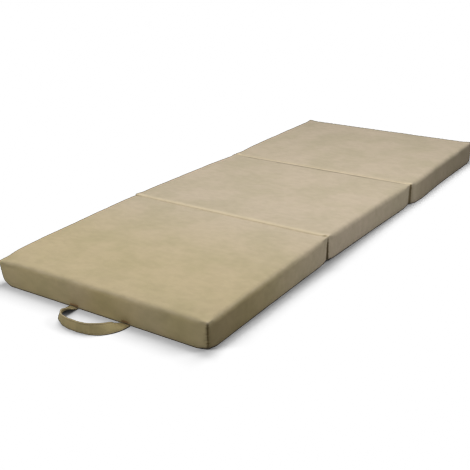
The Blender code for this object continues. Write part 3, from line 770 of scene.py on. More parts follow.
# A yellower tone painted in place of sheen: the top away from the handle's end stays whiter, and the sides are
# yellower.
YELLOW_TOP, YELLOW_SIDE, YELLOW_PATCHES = 0.48, 0.08, 0.26


def fold_distances(world_y):
    """How far a point lies from the nearer fold's middle, and whether that fold ends its half of the section."""
    to_fold = np.minimum(np.abs(world_y - FOLD_FRONT_Y), np.abs(world_y - FOLD_REAR_Y))
    return to_fold, to_fold - HALF_GAP, to_fold < HALF_LENGTH / 2


def right_side(x, from_side, from_top):
    """1 on the upright side that the camera sees, and 0 on the top and the other sides."""
    return (x > 0) * smooth(from_top, 0.004, 0.02) * smooth(-from_side, -0.01, 0.0)


# Painted highlight along the folds, over the ears and on the seam beside the front fold, with rubbed pile on the
# edges.
def highlight_and_wear_mask(flat, section):
    x, y, _, world_y, from_side, from_end, from_top = distances(flat, section)
    to_fold, fold_way, at_fold = fold_distances(world_y)
    # Painted highlight on the rolled bank of each fold, strongest on the bank beyond it, which faces the camera
    # and the light.
    over_edge = np.abs(fold_way + 0.8 * from_top - 0.004)
    bank = np.where(y < 0, FAR_BANK_HIGHLIGHT, NEAR_BANK_HIGHLIGHT)
    highlight_and_wear = bell(over_edge, BANK_WIDTH) * (to_fold < 0.05) * bank
    to_ear = np.sqrt(from_side**2 + from_end**2 + from_top**2)
    highlight_and_wear = np.maximum(highlight_and_wear, np.where(at_fold, FOLD_EAR_HIGHLIGHT, EAR_HIGHLIGHT) * bell(to_ear, EAR_HIGHLIGHT_SIZE))
    # Rubbed pile and painted highlight along the rolled edges, fainter on the left edges and at the far end.
    edge_way = np.minimum(from_side, from_end) + from_top
    rubbed = 0.5 + 0.5 * ripple(x + 1.3 * y, 0.07, 91)
    edge_highlight_and_wear = np.where((x < -0.37) | (world_y > 0.94), HIDDEN_EDGE_HIGHLIGHT_AND_WEAR, EDGE_HIGHLIGHT_AND_WEAR)
    highlight_and_wear = np.maximum(highlight_and_wear, edge_highlight_and_wear * np.clip(rubbed, 0.0, 1.0) * bell(edge_way - 0.002, 0.006))
    # Painted highlight on the ridge of the upright seam beside the front fold, on the side that the camera sees.
    seam = right_side(x, from_side, from_top) * (section == "front") * at_fold * bell(fold_way - 0.0085, 0.003)
    return np.maximum(highlight_and_wear, SEAM_HIGHLIGHT * seam * smooth(from_top, 0.010, 0.016))


def painted_sheen_and_yellowing(flat, section):
    """Painted sheen: yellower towards the handle's end and most on its sides, where less sheen whitens the cloth,
    with uneven patches of tone on the sides.
    """
    x, y, _, world_y, _, _, from_top = distances(flat, section)
    towards_handle = smooth(-world_y, 0.20, 0.85)
    upright = smooth(from_top, 0.001, 0.014)
    uneven = 0.5 + 0.5 * np.clip(ripple(x - 0.4 * y, 0.31, 57), -1.0, 1.0)
    return towards_handle * (YELLOW_TOP + upright * (YELLOW_SIDE + YELLOW_PATCHES * uneven))


print("wear along the folds up to", FAR_BANK_HIGHLIGHT, "and on the edges up to", EDGE_HIGHLIGHT_AND_WEAR)

# %% [markdown]
# The cloth is dark in the upright seams, where single stitches pull the pile in, and darker along the lower seam.
# Shade is painted in the slits at the two folds and in a small hollow at the top of the front fold, on the rear
# section's side beside its fold, and on two patches of the side that the camera sees. The cloth is stained round
# the tacks.

# %% Mask of painted shade, dark seams and stains
SEAM_RIPPLE_SEED = {"front": 13, "middle": 25, "rear": 39}
NEAR_STITCHED, STITCHED = 0.0052, 0.0036
LOWER_DARKENING = 0.6
SLIT_SHADE, SLIT_WIDTH, SLIT_WIDENING = 0.95, (0.0048, 0.0046), 0.0035
SHADE_NEAR, SHADE_FAR = 0.40, 0.31
SLIT_SIDE_SHADE = 0.45
STAIN, STAIN_WIDTH = 0.35, 0.016


def seams_stains_and_shade_mask(flat, section):
    x, y, z, world_y, from_side, from_end, from_top = distances(flat, section)
    _, fold_way, at_fold = fold_distances(world_y)
    at_front_fold = beside(world_y, FOLD_FRONT_Y)
    near_seam = (x > 0) & (y < 0) & (section == "front")
    uneven = 1.0 + 0.55 * ripple(z, 0.0095, SEAM_RIPPLE_SEED[section])
    stitched = np.where(near_seam, NEAR_STITCHED, STITCHED) * uneven
    seams_stains_and_shade = np.where(near_seam, 1.0, 0.85) * bell(from_side + from_end, np.maximum(stitched, 0.0012))
    seams_stains_and_shade = seams_stains_and_shade * smooth(from_top, 0.003, 0.012)
    seams_stains_and_shade = np.maximum(seams_stains_and_shade, LOWER_DARKENING * bell(z, 0.0035))

    # Painted shade in the slits between the sections at both folds, and in a small hollow at the top of the front
    # fold.
    widened = SLIT_WIDTH[1] + SLIT_WIDENING * (1.0 - z / EDGE_HEIGHT)
    slit_width = np.where(at_front_fold, SLIT_WIDTH[0], widened)
    slit_top = np.where(at_front_fold, smooth(from_top, 0.0180, 0.0220), smooth(from_top, 0.0005, 0.005))
    slit = at_fold * bell(fold_way, slit_width, 4) * slit_top * bell(from_side, 0.0085)
    hollow = at_front_fold * bell(from_side - 0.011, 0.0075) * bell(fold_way, 0.006)
    slit = np.maximum(slit, hollow * (from_top < 0.004) * (x > 0))

    # Painted shade on two patches of the side that the camera sees, and beside the slit on the rear section.
    side = right_side(x, from_side, from_top)
    shaded = side * (SHADE_NEAR * smooth(-world_y, 0.50, 0.95) + SHADE_FAR * smooth(world_y, 0.33, 0.44))
    slit_side_shade = side * (section == "rear") * at_fold * SLIT_SIDE_SHADE * bell(fold_way, 0.016)
    to_tack = np.hypot(np.abs(x - 0.012) - 0.1, np.where(y < 0, 0.7 * z, 1.0)) + 2.0 * from_end
    stain = STAIN * bell(to_tack, STAIN_WIDTH) * (section == "front")
    return np.maximum.reduce([seams_stains_and_shade, SLIT_SHADE * slit, shaded, slit_side_shade, stain])


print("slits", SLIT_SHADE, "hanging sides", SHADE_NEAR, SHADE_FAR)

# %% [markdown]
# The cover of a section is sewn from one cloth over the top and sides and a plain cloth underneath. Both come
# from one fine grid, so that they meet at the seam. The long left side has a window for the zip. A thin wall
# turned inwards gives the cloth its thickness.

# %% Covers and undersides
COVER_WALL = 0.0012


def kept_part(quads, keep):
    """The chosen quads and the points they use, renumbered."""
    chosen = [quad for quad, wanted in zip(quads, keep) if wanted]
    used = sorted({number for quad in chosen for number in quad})
    renumber = {number: index for index, number in enumerate(used)}
    return used, [[renumber[number] for number in quad] for quad in chosen]


def cloth_piece(name, places, quads, finish, wall, masks=None):
    mesh = bpy.data.meshes.new(name)
    mesh.from_pydata(places.tolist(), [], quads)
    for mask, values in (masks or {}).items():
        mesh.attributes.new(mask, "FLOAT", "POINT").data.foreach_set("value", np.asarray(values, np.float32))
    mesh.materials.append(finish)
    mesh.shade_smooth()
    piece = link(name, mesh)
    if wall:
        solid = piece.modifiers.new("wall", "SOLIDIFY")
        solid.thickness = wall
        solid.offset = -1.0
        solid.use_even_offset = False
    return piece


flat, quads, sides = SECTION_GRID
middle_x, middle_y, middle_z = np.array([flat[quad].mean(0) for quad in quads]).T
in_window = (middle_x < 0.0001 - HALF_WIDTH) & (np.abs(middle_y) < ZIP_HALF_LENGTH)
in_window &= (middle_z > ZIP_LOW) & (middle_z < ZIP_HIGH)
is_bottom = np.array(sides) == "bottom"
cover_points, cover_quads = kept_part(quads, ~is_bottom & ~in_window)
base_points, base_quads = kept_part(quads, is_bottom)

covers, undersides = {}, {}
for section in SECTION_Y:
    places = stuffed(flat, section)
    places += hand_over(*settled_moves(section), flat)
    places[:, 2] = np.maximum(places[:, 2], 0.0)
    masks = {"highlight_and_wear": highlight_and_wear_mask, "seams_stains_and_shade": seams_stains_and_shade_mask, "yellowing_and_sheen": painted_sheen_and_yellowing}
    masks = {name: mask(flat, section)[cover_points] for name, mask in masks.items()}
    covers[section] = cloth_piece(f"cover_{section}", places[cover_points], cover_quads, suede, COVER_WALL, masks)
    undersides[section] = cloth_piece(
        f"underside_{section}", places[base_points], base_quads, underside_cloth, COVER_WALL
    )
    print(section, "cover", len(covers[section].data.polygons), "quads")

# %% [markdown]
# Inside each cover lies a block of foam, cut square with its edges eased. It is hidden, but it is a real piece, so
# it gets the open cells of cut foam. It follows the form of the cover a few millimetres further in.

# %% Foam blocks
FOAM_INSET = 0.0042
FOAM_PALE, FOAM_DEEP = (0.84, 0.78, 0.58, 1.0), (0.75, 0.68, 0.48, 1.0)

foam_finish, foam_tree, foam_shader = base_material("foam", 0.95)
foam_place = object_place(foam_tree)
cells = foam_tree.nodes.new("ShaderNodeTexVoronoi")
cells.inputs["Scale"].default_value = 700.0
foam_tree.links.new(foam_place, cells.inputs["Vector"])
foam_tone = mix(foam_tree, noise(foam_tree, foam_place, 25.0), FOAM_PALE, FOAM_DEEP)
foam_tree.links.new(foam_tone, foam_shader.inputs["Base Color"])
add_bump(foam_tree, foam_shader, cells.outputs["Distance"], 0.0008, 0.5)

flat, quads, _ = box_grid(
    graded_lines(HALF_WIDTH, 0.04),
    graded_lines(HALF_LENGTH, 0.04),
    np.array([0.0, 0.004, 0.012, 0.03, 0.0575, 0.0745, 0.082, EDGE_HEIGHT]),
)
shrunk_by = 1.0 - FOAM_INSET / np.array([HALF_WIDTH, HALF_LENGTH, EDGE_HEIGHT / 2])
foams = {}
for section, section_y in SECTION_Y.items():
    places = stuffed(flat, section)
    lift = fold_rise(flat[:, 0], flat[:, 1] + section_y, flat[:, 2] / EDGE_HEIGHT)
    centre = np.array([0.0, section_y, EDGE_HEIGHT / 2])
    places[:, 2] -= lift
    places = centre + (places - centre) * shrunk_by
    places[:, 2] += lift
    foams[section] = cloth_piece(f"foam_{section}", places, quads, foam_finish, 0.0)
print("foam blocks", len(foams), "of", len(quads), "quads")

# %% [markdown]
# A cloth hinge joins two sections. The rear one lies on top and dips into the valley between the two rolled
# edges. The front one lies underneath and hangs down in a fold of its own between the two sections that rise over
# it. Each is a strip with many rows across the fold, so that it can bend when the mattress is folded up.

# %% Cloth hinges
HINGE_HALF_WIDTH = 0.386
HINGE_WALL = 0.0008
HINGE_LIFT = 0.0012
REAR_HINGE_REACH = HALF_GAP + 0.0095
REAR_HINGE_DIP = 0.0032
# A painted highlight along the crest of the rear fold.
REAR_HINGE_HIGHLIGHT, REAR_HINGE_HIGHLIGHT_Y, REAR_HINGE_HIGHLIGHT_WIDTH = 0.6, 0.005, 0.0045
FRONT_HINGE_REACH = 0.0078
FRONT_HINGE_HANG = 0.88


def rear_hinge_height(x, across):
    reach = np.maximum(np.abs(across) - HALF_GAP, REAR_HINGE_DIP)
    inward = np.minimum(reach, EDGE_ROLL)
    drop = EDGE_ROLL - np.sqrt(EDGE_ROLL**2 - (EDGE_ROLL - inward) ** 2)
    share_x, share_y = x / HALF_WIDTH, (HALF_LENGTH - reach) / HALF_LENGTH
    height = EDGE_HEIGHT - drop + CROWN * (1 - share_x**2) * (1 - share_y**2)
    waves = 0.0003 * ripple(x, 0.045, 71) * np.cos(np.clip(across / 0.012, -1, 1) * math.pi / 2)
    return height + HINGE_LIFT + waves + fold_rise(x, across + FOLD_REAR_Y, 1.0)


def front_hinge_height(x, across):
    hangs = FRONT_HINGE_HANG * (1.0 - smooth(np.abs(across), 0.0, FRONT_HINGE_REACH))
    return HINGE_LIFT + fold_rise(x, across + FOLD_FRONT_Y, 0.0) * (1.0 - hangs)


def hinge_strip(name, fold_y, height, reach, rows, highlight_and_wear):
    """A strip of cloth over or under a fold, from its height at each place, with a painted highlight along a line
    across the fold.
    """
    xs = np.linspace(-HINGE_HALF_WIDTH, HINGE_HALF_WIDTH, 121)
    grid_x, grid_y = (values.ravel() for values in np.meshgrid(xs, np.linspace(-reach, reach, rows)))
    places = np.stack([grid_x, grid_y + fold_y, height(grid_x, grid_y)], 1)
    columns = len(xs)
    starts = [row * columns + column for row in range(rows - 1) for column in range(columns - 1)]
    quads = [[at, at + 1, at + columns + 1, at + columns] for at in starts]
    highlight_line = highlight_and_wear * bell(grid_y - REAR_HINGE_HIGHLIGHT_Y, REAR_HINGE_HIGHLIGHT_WIDTH)
    masks = {"highlight_and_wear": highlight_line, "seams_stains_and_shade": np.zeros_like(highlight_line)}
    return cloth_piece(name, places, quads, hinge_suede, HINGE_WALL, masks)


hinge_rear = hinge_strip(
    "hinge_cloth_rear", FOLD_REAR_Y, rear_hinge_height, REAR_HINGE_REACH, 21, REAR_HINGE_HIGHLIGHT
)
hinge_front = hinge_strip("hinge_cloth_front", FOLD_FRONT_Y, front_hinge_height, FRONT_HINGE_REACH, 17, 0.0)
print("hinges", hinge_rear.name, hinge_front.name)

# %% [markdown]
# The handle is a flat strap of the same cloth, folded and sewn along both edges. It leaves the front end low
# down, leans inwards as it rises on edge round the loop, and twists to lie flat again at its right end. Its centre
# line is the same superellipse as the solid's. At any share of its length, a small frame says where its middle
# lies, which way is across it and which way is out of its upper face. Strap and stitches both follow that frame.

# %% Path of the strap
HANDLE_SPAN = 0.200
HANDLE_REACH = 0.1005
HANDLE_POWER = 2.6
STRAP_WIDTH = 0.033
STRAP_THICKNESS = 0.003
HEM_RADIUS = 0.002
HANDLE_AXIS = Vector((0.012, -0.97592, 0.0025))
TILT_SHARES = (0.0, 0.03, 0.15, 0.28, 0.62, 0.80, 0.87, 0.93, 1.0)
TILT_DEG = (0.0, 0.0, 42.0, 88.0, 88.0, 56.0, 40.0, 14.0, 0.0)

angles = np.linspace(math.pi, 0.0, 4001)
path_x = np.sign(np.cos(angles)) * np.abs(np.cos(angles)) ** (2 / HANDLE_POWER) * HANDLE_SPAN / 2
path_y = -np.abs(np.sin(angles)) ** (2 / HANDLE_POWER) * HANDLE_REACH
path_way = np.concatenate([[0.0], np.cumsum(np.hypot(np.diff(path_x), np.diff(path_y)))])
STRAP_LENGTH = float(path_way[-1])


def loop_point(share):
    way = share * STRAP_LENGTH
    return Vector((float(np.interp(way, path_way, path_x)), float(np.interp(way, path_way, path_y)), 0.0))


def strap_frame(share):
    """The strap's centre, the way across it and the way out of its upper face, at a share of its length."""
    step = 0.012
    along = (loop_point(min(share + step, 1.0)) - loop_point(max(share - step, 0.0))).normalized()
    sideways = Vector((-along.y, along.x, 0.0))
    nearby = np.clip(share + np.linspace(-0.03, 0.03, 13), 0.0, 1.0) if 0.0 < share < 1.0 else share
    tilt = math.radians(float(np.mean(np.interp(nearby, TILT_SHARES, TILT_DEG))))
    across = sideways * math.cos(tilt) + Vector((0.0, 0.0, 1.0)) * math.sin(tilt)
    rise = STRAP_WIDTH / 2 * math.sin(tilt) + STRAP_THICKNESS / 2 * math.cos(tilt) - HEM_RADIUS
    rise += (HEM_RADIUS - STRAP_THICKNESS / 2) * math.cos(tilt) ** 2
    centre = HANDLE_AXIS + loop_point(share) + Vector((0.0, 0.0, rise))
    return centre, across, along.cross(across).normalized()


def strap_waves(share):
    """How far soft cloth stands off its even shape."""
    return 0.0004 * math.sin(share * 61.0) + 0.0003 * math.sin(share * 143.0 + 1.0)


print("strap length", round(STRAP_LENGTH, 4), "m")

# %% [markdown]
# The strap itself is a row of rings, each the slim section of a folded and sewn band, joined one to the next. The
# section is thick in the middle, thin where the stitches pull it in, and rubbed pale at its outer edges.

# %% Handle strap
STRAP_RINGS = 150
STRAP_YELLOWING = 0.7
SEAM_SHARE = 0.78
HALF_SHARES = (1.0, 0.97, 0.88, SEAM_SHARE, 0.68, 0.4)
HALF_THICKNESS = (0.45, 0.80, 0.95, 0.72, 0.95, 1.0)
section_shares = [-share for share in HALF_SHARES] + [0.0] + list(HALF_SHARES[::-1])
section_thickness = [*HALF_THICKNESS, 1.0, *HALF_THICKNESS[::-1]]
upper_face = [(share, thick) for share, thick in zip(section_shares, section_thickness)]
strap_outline = upper_face + [(share, -thick) for share, thick in reversed(upper_face)]

form = bmesh.new()
layers = {name: form.verts.layers.float.new(name) for name in ("highlight_and_wear", "seams_stains_and_shade", "yellowing_and_sheen")}
rings = []
for number in range(STRAP_RINGS + 1):
    centre, across, out_way = strap_frame(number / STRAP_RINGS)
    waves = strap_waves(number / STRAP_RINGS)
    ring = []
    for share, thick in strap_outline:
        place = centre + across * (share * STRAP_WIDTH / 2) + out_way * (thick * STRAP_THICKNESS / 2 + waves)
        vert = form.verts.new(place)
        vert[layers["highlight_and_wear"]] = 0.55 * max(0.0, abs(share) - 0.9) * 10.0
        vert[layers["seams_stains_and_shade"]] = 0.5 if abs(share) == SEAM_SHARE else 0.0
        vert[layers["yellowing_and_sheen"]] = STRAP_YELLOWING
        ring.append(vert)
    rings.append(ring)
for before, after in zip(rings, rings[1:]):
    for index in range(len(before)):
        following = (index + 1) % len(before)
        form.faces.new((before[index], before[following], after[following], after[index]))
form.faces.new(rings[0][::-1])
form.faces.new(rings[-1])
bmesh.ops.recalc_face_normals(form, faces=form.faces)
strap_mesh = bpy.data.meshes.new("strap")
form.to_mesh(strap_mesh)
form.free()
strap_mesh.shade_smooth()
strap_mesh.materials.append(strap_suede)
strap = link("strap", strap_mesh)
print("strap", len(strap_mesh.polygons), "faces")

# %% [markdown]
# Thread is what repeats on a sewn thing, so Geometry Nodes lay it. These helpers build a tree with named inputs
# and finish it: the instances are made real, because an export would drop them, and the material is set.
# The last one runs a tree on one or more paths and keeps the result as a plain mesh.

# %% Node tree helpers
MATERIAL = "NodeSocketMaterial"


def new_tree(name, inputs):
    """A tree that takes a path and some named numbers and a material, and gives a mesh."""
    tree = bpy.data.node_groups.new(name, "GeometryNodeTree")
    tree.interface.new_socket("Geometry", in_out="INPUT", socket_type="NodeSocketGeometry")
    for socket, value in inputs.items():
        tree.interface.new_socket(socket, in_out="INPUT", socket_type=NUMBER).default_value = value
    tree.interface.new_socket("Material", in_out="INPUT", socket_type=MATERIAL)
    tree.interface.new_socket("Geometry", in_out="OUTPUT", socket_type="NodeSocketGeometry")
    return tree, tree.nodes.new("NodeGroupInput").outputs


def end_tree(tree, geometry, given):
    real = tree.nodes.new("GeometryNodeRealizeInstances")
    dress = tree.nodes.new("GeometryNodeSetMaterial")
    result = tree.nodes.new("NodeGroupOutput")
    tree.links.new(geometry, real.inputs["Geometry"])
    tree.links.new(real.outputs["Geometry"], dress.inputs["Geometry"])
    tree.links.new(given["Material"], dress.inputs["Material"])
    tree.links.new(dress.outputs["Geometry"], result.inputs["Geometry"])
    print("tree", tree.name, "with", len(tree.nodes), "nodes")


def grown(name, paths, tree, values):
    """Run a node tree on one or more paths and keep the result as a plain mesh."""
    vertices, edges = [], []
    for points in paths:
        first = len(vertices)
        vertices += [tuple(point) for point in points]
        edges += [(first + step, first + step + 1) for step in range(len(points) - 1)]
    mesh = bpy.data.meshes.new(name + "_path")
    mesh.from_pydata(vertices, edges, [])
    carrier = link(name + "_path", mesh)
    grow = carrier.modifiers.new("grow", "NODES")
    grow.node_group = tree
    for item in tree.interface.items_tree:
        if item.item_type == "SOCKET" and item.in_out == "INPUT" and item.name in values:
            grow[item.identifier] = values[item.name]
    bpy.context.view_layer.update()
    graph = bpy.context.evaluated_depsgraph_get()
    made = bpy.data.meshes.new_from_object(carrier.evaluated_get(graph))
    made.name = name
    bpy.data.objects.remove(carrier)
    made.shade_smooth()
    return link(name, made)


# %% [markdown]
# The first tree puts a slim bead at an even pitch along a path. Turned along the path, the beads are stitches.
# Left as they stand, they are the teeth of a zip. A bead has only 32 faces, as there are over two thousand beads.

# %% Trees of stitches and teeth
BEAD_SEGMENTS, BEAD_RINGS = 8, 4
STITCH = {"Pitch": 0.0042, "Length": 0.0031, "Width": 0.00064, "Height": 0.00064}
TOOTH = {"Pitch": 0.0014, "Length": 0.0015, "Width": 0.0011, "Height": 0.0052}


def bead_tree(name, sizes, turn_to_path):
    """Beads at an even pitch along a path, each as long, wide and high as its inputs say."""
    tree, given = new_tree(name, sizes)
    curve = tree.nodes.new("GeometryNodeMeshToCurve")
    resample = tree.nodes.new("GeometryNodeResampleCurve")
    resample.mode = "LENGTH"
    tree.links.new(given["Geometry"], curve.inputs["Mesh"])
    tree.links.new(curve.outputs["Curve"], resample.inputs["Curve"])
    tree.links.new(given["Pitch"], resample.inputs["Length"])
    bead = tree.nodes.new("GeometryNodeMeshUVSphere")
    for socket, value in (("Radius", 0.5), ("Segments", BEAD_SEGMENTS), ("Rings", BEAD_RINGS)):
        bead.inputs[socket].default_value = value
    size = tree.nodes.new("ShaderNodeCombineXYZ")
    for axis, socket in zip("XYZ", ("Length", "Width", "Height")):
        tree.links.new(given[socket], size.inputs[axis])
    put = tree.nodes.new("GeometryNodeInstanceOnPoints")
    tree.links.new(resample.outputs["Curve"], put.inputs["Points"])
    tree.links.new(bead.outputs["Mesh"], put.inputs["Instance"])
    tree.links.new(size.outputs["Vector"], put.inputs["Scale"])
    if turn_to_path:
        tangent = tree.nodes.new("GeometryNodeInputTangent")
        align = tree.nodes.new("FunctionNodeAlignRotationToVector")
        align.axis = "X"
        tree.links.new(tangent.outputs["Tangent"], align.inputs["Vector"])
        tree.links.new(align.outputs["Rotation"], put.inputs["Rotation"])
    end_tree(tree, put.outputs["Instances"], given)
    return tree


stitch_tree = bead_tree("stitches along a path", STITCH, True)
teeth_tree = bead_tree("zip teeth along a path", TOOTH, False)

# %% [markdown]
# The second tree sweeps a round thread along a path. A zigzag path makes the dense tacks that hold the strap.

# %% Tree of a thread
THREAD_RADIUS = 0.00032

thread_tree, thread_given = new_tree("thread along a path", {"Thread Radius": THREAD_RADIUS})
thread_curve = thread_tree.nodes.new("GeometryNodeMeshToCurve")
thread_ring = thread_tree.nodes.new("GeometryNodeCurvePrimitiveCircle")
thread_ring.inputs["Resolution"].default_value = 6
thread_sweep = thread_tree.nodes.new("GeometryNodeCurveToMesh")
thread_sweep.inputs["Fill Caps"].default_value = True
thread_tree.links.new(thread_given["Geometry"], thread_curve.inputs["Mesh"])
thread_tree.links.new(thread_given["Thread Radius"], thread_ring.inputs["Radius"])
thread_tree.links.new(thread_curve.outputs["Curve"], thread_sweep.inputs["Curve"])
thread_tree.links.new(thread_ring.outputs["Curve"], thread_sweep.inputs["Profile Curve"])
end_tree(thread_tree, thread_sweep.outputs["Mesh"], thread_given)

# %% [markdown]
# Thread is twisted, with a slight gloss. The strap's stitches match the cloth. The tacks are sewn in a darker
# brown thread, which shows in the photograph as two small marks at the lower edge.

# %% Stitches and tacks of the handle
PALE_THREAD = (0.56, 0.47, 0.33, 1.0), (0.42, 0.35, 0.24, 1.0)
BROWN_THREAD = (0.47, 0.28, 0.115, 1.0), (0.30, 0.17, 0.07, 1.0)
STITCHED_FROM, STITCHED_PART, STITCHED_STEPS = 0.02, 0.96, 160
TACK_TURNS = 26
TACK_THREAD_RADIUS = 0.00036


def thread_material(name, light, dark):
    finish, tree, shader = base_material(name, 0.6, sheen=0.1)
    fibres = noise(tree, object_place(tree), 2500.0, 2.0, 0.6)
    tree.links.new(mix(tree, spread(tree, fibres, 0.3, 0.7), dark, light), shader.inputs["Base Color"])
    add_bump(tree, shader, fibres, 0.0001, 0.5)
    return finish


def seam_line(face, edge):
    """Points along one seam of the strap, just proud of the thin place where the thread pulls it in."""
    line = []
    for number in range(STITCHED_STEPS + 1):
        share = STITCHED_FROM + STITCHED_PART * number / STITCHED_STEPS
        centre, across, out_way = strap_frame(share)
        lift = face * (0.72 * STRAP_THICKNESS / 2 + 0.0001) + strap_waves(share)
        line.append(centre + across * (edge * SEAM_SHARE * STRAP_WIDTH / 2) + out_way * lift)
    return line


def tack_lines(low, high):
    """A dense zigzag over the tack's box, and three straight threads across it."""
    middle_y = (low.y + high.y) / 2
    zigzag = []
    for number in range(2 * TACK_TURNS + 1):
        x = low.x + 0.0006 + (high.x - low.x - 0.0012) * number / (2 * TACK_TURNS)
        z = low.z + 0.0004 if number % 2 else high.z - 0.0004
        zigzag.append((x, middle_y, z + 0.0003 * math.sin(2.3 * number)))
    levels = (low.z + 0.0010, (low.z + high.z) / 2, high.z - 0.0010)
    return [zigzag] + [[(x, middle_y + 0.0002, z) for x in (low.x + 0.0004, high.x - 0.0004)] for z in levels]


pale_thread = thread_material("pale_thread", *PALE_THREAD)
brown_thread = thread_material("brown_thread", *BROWN_THREAD)
seam_lines = [seam_line(face, edge) for face in (1, -1) for edge in (-1, 1)]
strap_stitches = grown("strap_stitches", seam_lines, stitch_tree, {**STITCH, "Material": pale_thread})
tacks = {}
for name in ("left", "right"):
    lines = tack_lines(*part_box(f"handle_tack_{name}"))
    thread = {"Thread Radius": TACK_THREAD_RADIUS, "Material": brown_thread}
    tacks[name] = grown(f"tack_{name}", lines, thread_tree, thread)
print("stitches", len(strap_stitches.data.polygons), "tack", len(tacks["left"].data.polygons), "faces")

# %% [markdown]
# A zip is woven tape, nylon and metal. The tape is a fine diagonal weave and the nylon a plain tone with slight
# clouds. The slider's old metal is rubbed: brighter in some places, and rougher in others.

# %% Finishes of the zips
TAPE_DARK, TAPE_LIGHT = (0.33, 0.27, 0.185, 1.0), (0.43, 0.36, 0.25, 1.0)
NYLON_DARK, NYLON_LIGHT = (0.40, 0.34, 0.24, 1.0), (0.46, 0.39, 0.28, 1.0)
METAL_DULL, METAL_BRIGHT = (0.30, 0.27, 0.21, 1.0), (0.50, 0.45, 0.36, 1.0)

tape_finish, tape_tree, tape_shader = base_material("zip_tape_cloth", 0.85, sheen=0.05)
weave = tape_tree.nodes.new("ShaderNodeTexWave")
weave.wave_type = "BANDS"
weave.bands_direction = "DIAGONAL"
weave.inputs["Scale"].default_value = 900.0
weave.inputs["Distortion"].default_value = 1.5
tape_tree.links.new(object_place(tape_tree), weave.inputs["Vector"])
tape_tone = mix(tape_tree, weave.outputs["Fac"], TAPE_DARK, TAPE_LIGHT)
tape_tree.links.new(tape_tone, tape_shader.inputs["Base Color"])
add_bump(tape_tree, tape_shader, weave.outputs["Fac"], 0.0002, 0.6)

nylon, nylon_tree, nylon_shader = base_material("nylon_teeth", 0.38)
nylon_tone = mix(nylon_tree, noise(nylon_tree, object_place(nylon_tree), 60.0), NYLON_DARK, NYLON_LIGHT)
nylon_tree.links.new(nylon_tone, nylon_shader.inputs["Base Color"])

zip_metal, metal_tree, metal_shader = base_material("old_metal", 0.35, metallic=1.0)
metal_place = object_place(metal_tree)
rubbed = spread(metal_tree, noise(metal_tree, metal_place, 900.0, 4.0, 0.6), 0.35, 0.65)
metal_tree.links.new(mix(metal_tree, rubbed, METAL_DULL, METAL_BRIGHT), metal_shader.inputs["Base Color"])
rough = spread(metal_tree, noise(metal_tree, metal_place, 1400.0, 3.0), 0.3, 0.7, 0.28, 0.5)
metal_tree.links.new(rough, metal_shader.inputs["Roughness"])
print("zip finishes", tape_finish.name, nylon.name, zip_metal.name)

# %% [markdown]
# The zip has two woven tapes, sewn behind the window, and a row of nylon teeth between them. A slider and its pull
# run on the teeth: they are rigid and already have their shape, so they only get a better metal.

# %% Zips
TAPE_ROUNDING = 0.0002
TAPE_SEAM_INSET = 0.0022
TAPE_SEAM_END = 0.002
TEETH_END = 0.0008
TAPE_STITCH = {"Pitch": 0.0034, "Length": 0.0026, "Width": 0.0004, "Height": 0.0004}


def slim_box(name, low, high, finish):
    """A thin band along the mattress, with its long edges rounded."""
    form = bmesh.new()
    middle, size = (low + high) / 2, high - low
    bmesh.ops.create_cube(form, size=1.0, matrix=Matrix.Translation(middle) @ Matrix.Diagonal((*size, 1.0)))
    lengthwise = [edge for edge in form.edges if abs(edge.verts[0].co.y - edge.verts[1].co.y) > size.y / 2]
    bmesh.ops.bevel(form, geom=lengthwise, offset=TAPE_ROUNDING, segments=2, profile=0.5, affect="EDGES")
    mesh = bpy.data.meshes.new(name)
    form.to_mesh(mesh)
    form.free()
    mesh.materials.append(finish)
    mesh.shade_smooth()
    return link(name, mesh)


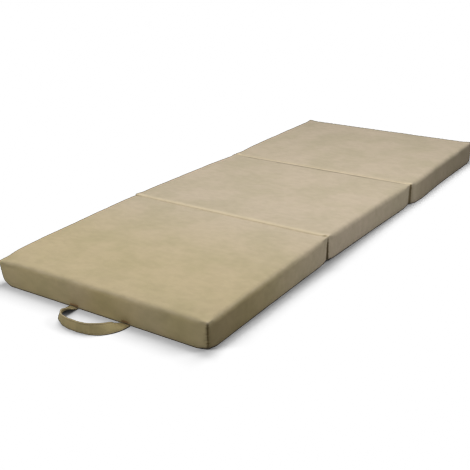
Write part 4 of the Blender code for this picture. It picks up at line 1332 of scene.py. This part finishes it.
tapes, teeth, tape_stitches = {}, {}, {}
for section in SECTION_Y:
    lines = []
    for level in ("upper", "lower"):
        low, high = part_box(f"zip_tape_{level}_{section}")
        tapes[section, level] = slim_box(f"tape_{level}_{section}", low, high, tape_finish)
        z = low.z + TAPE_SEAM_INSET if level == "lower" else high.z - TAPE_SEAM_INSET
        lines.append([(low.x, low.y + TAPE_SEAM_END, z), (low.x, high.y - TAPE_SEAM_END, z)])
    low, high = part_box(f"zip_coil_{section}")
    middle = (low + high) / 2
    row = [(middle.x, y, middle.z) for y in (low.y + TEETH_END, high.y - TEETH_END)]
    teeth[section] = grown(f"teeth_{section}", [row], teeth_tree, {"Material": nylon})
    stitching = {**TAPE_STITCH, "Material": pale_thread}
    tape_stitches[section] = grown(f"tape_stitches_{section}", lines, stitch_tree, stitching)
    for kind in ("slider", "pull"):
        metal_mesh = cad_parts[f"zip_{kind}_{section}"].data
        metal_mesh.materials.clear()
        metal_mesh.materials.append(zip_metal)
print("teeth", len(teeth["front"].data.polygons), "faces a zip")

# %% [markdown]
# Each piece is tied to the body that carries it, and the solid that it stands for is hidden.

# %% Tie the pieces to the bodies
def tie(piece, body, solid=None):
    """A piece rides on a body, and the solid it dresses is hidden. Stitches dress no solid of their own."""
    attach(piece, body)
    if solid:
        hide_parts(solid)


for section in SECTION_Y:
    cover, underside, foam = covers[section], undersides[section], foams[section]
    tie(cover, section, f"cover_shell_{section}")
    tie(underside, section, f"cover_base_{section}")
    tie(foam, section, f"foam_core_{section}")
    for level in ("upper", "lower"):
        tie(tapes[section, level], section, f"zip_tape_{level}_{section}")
    tie(teeth[section], section, f"zip_coil_{section}")
    tie(tape_stitches[section], section)
tie(strap, "handle", "handle_strap")
tie(strap_stitches, "handle")
for name, tack in tacks.items():
    tie(tack, "front", f"handle_tack_{name}")
print("pieces tied to the bodies of", len(SECTION_Y), "sections and the handle")

# %% [markdown]
# The cloth hinges don't ride on one body: each stays where it lies, across the fold between the two sections
# that it joins, and the solid that it stands for is hidden. The rear one goes over two rolled edges and down into
# their valley, and the front one hangs down in a fold, so both are longer than the gap they cross.


def bend(piece, solid):
    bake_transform(piece)
    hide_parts(solid)


bend(
    hinge_rear, "hinge_strip_rear",
)
bend(
    hinge_front, "hinge_strip_front",
)

# %% [markdown]
# Dressing must not change the size of the thing. Cloth may stand a few millimetres proud of the solids, and no
# more.

# %% Bring the scene up to date
bpy.context.view_layer.update()
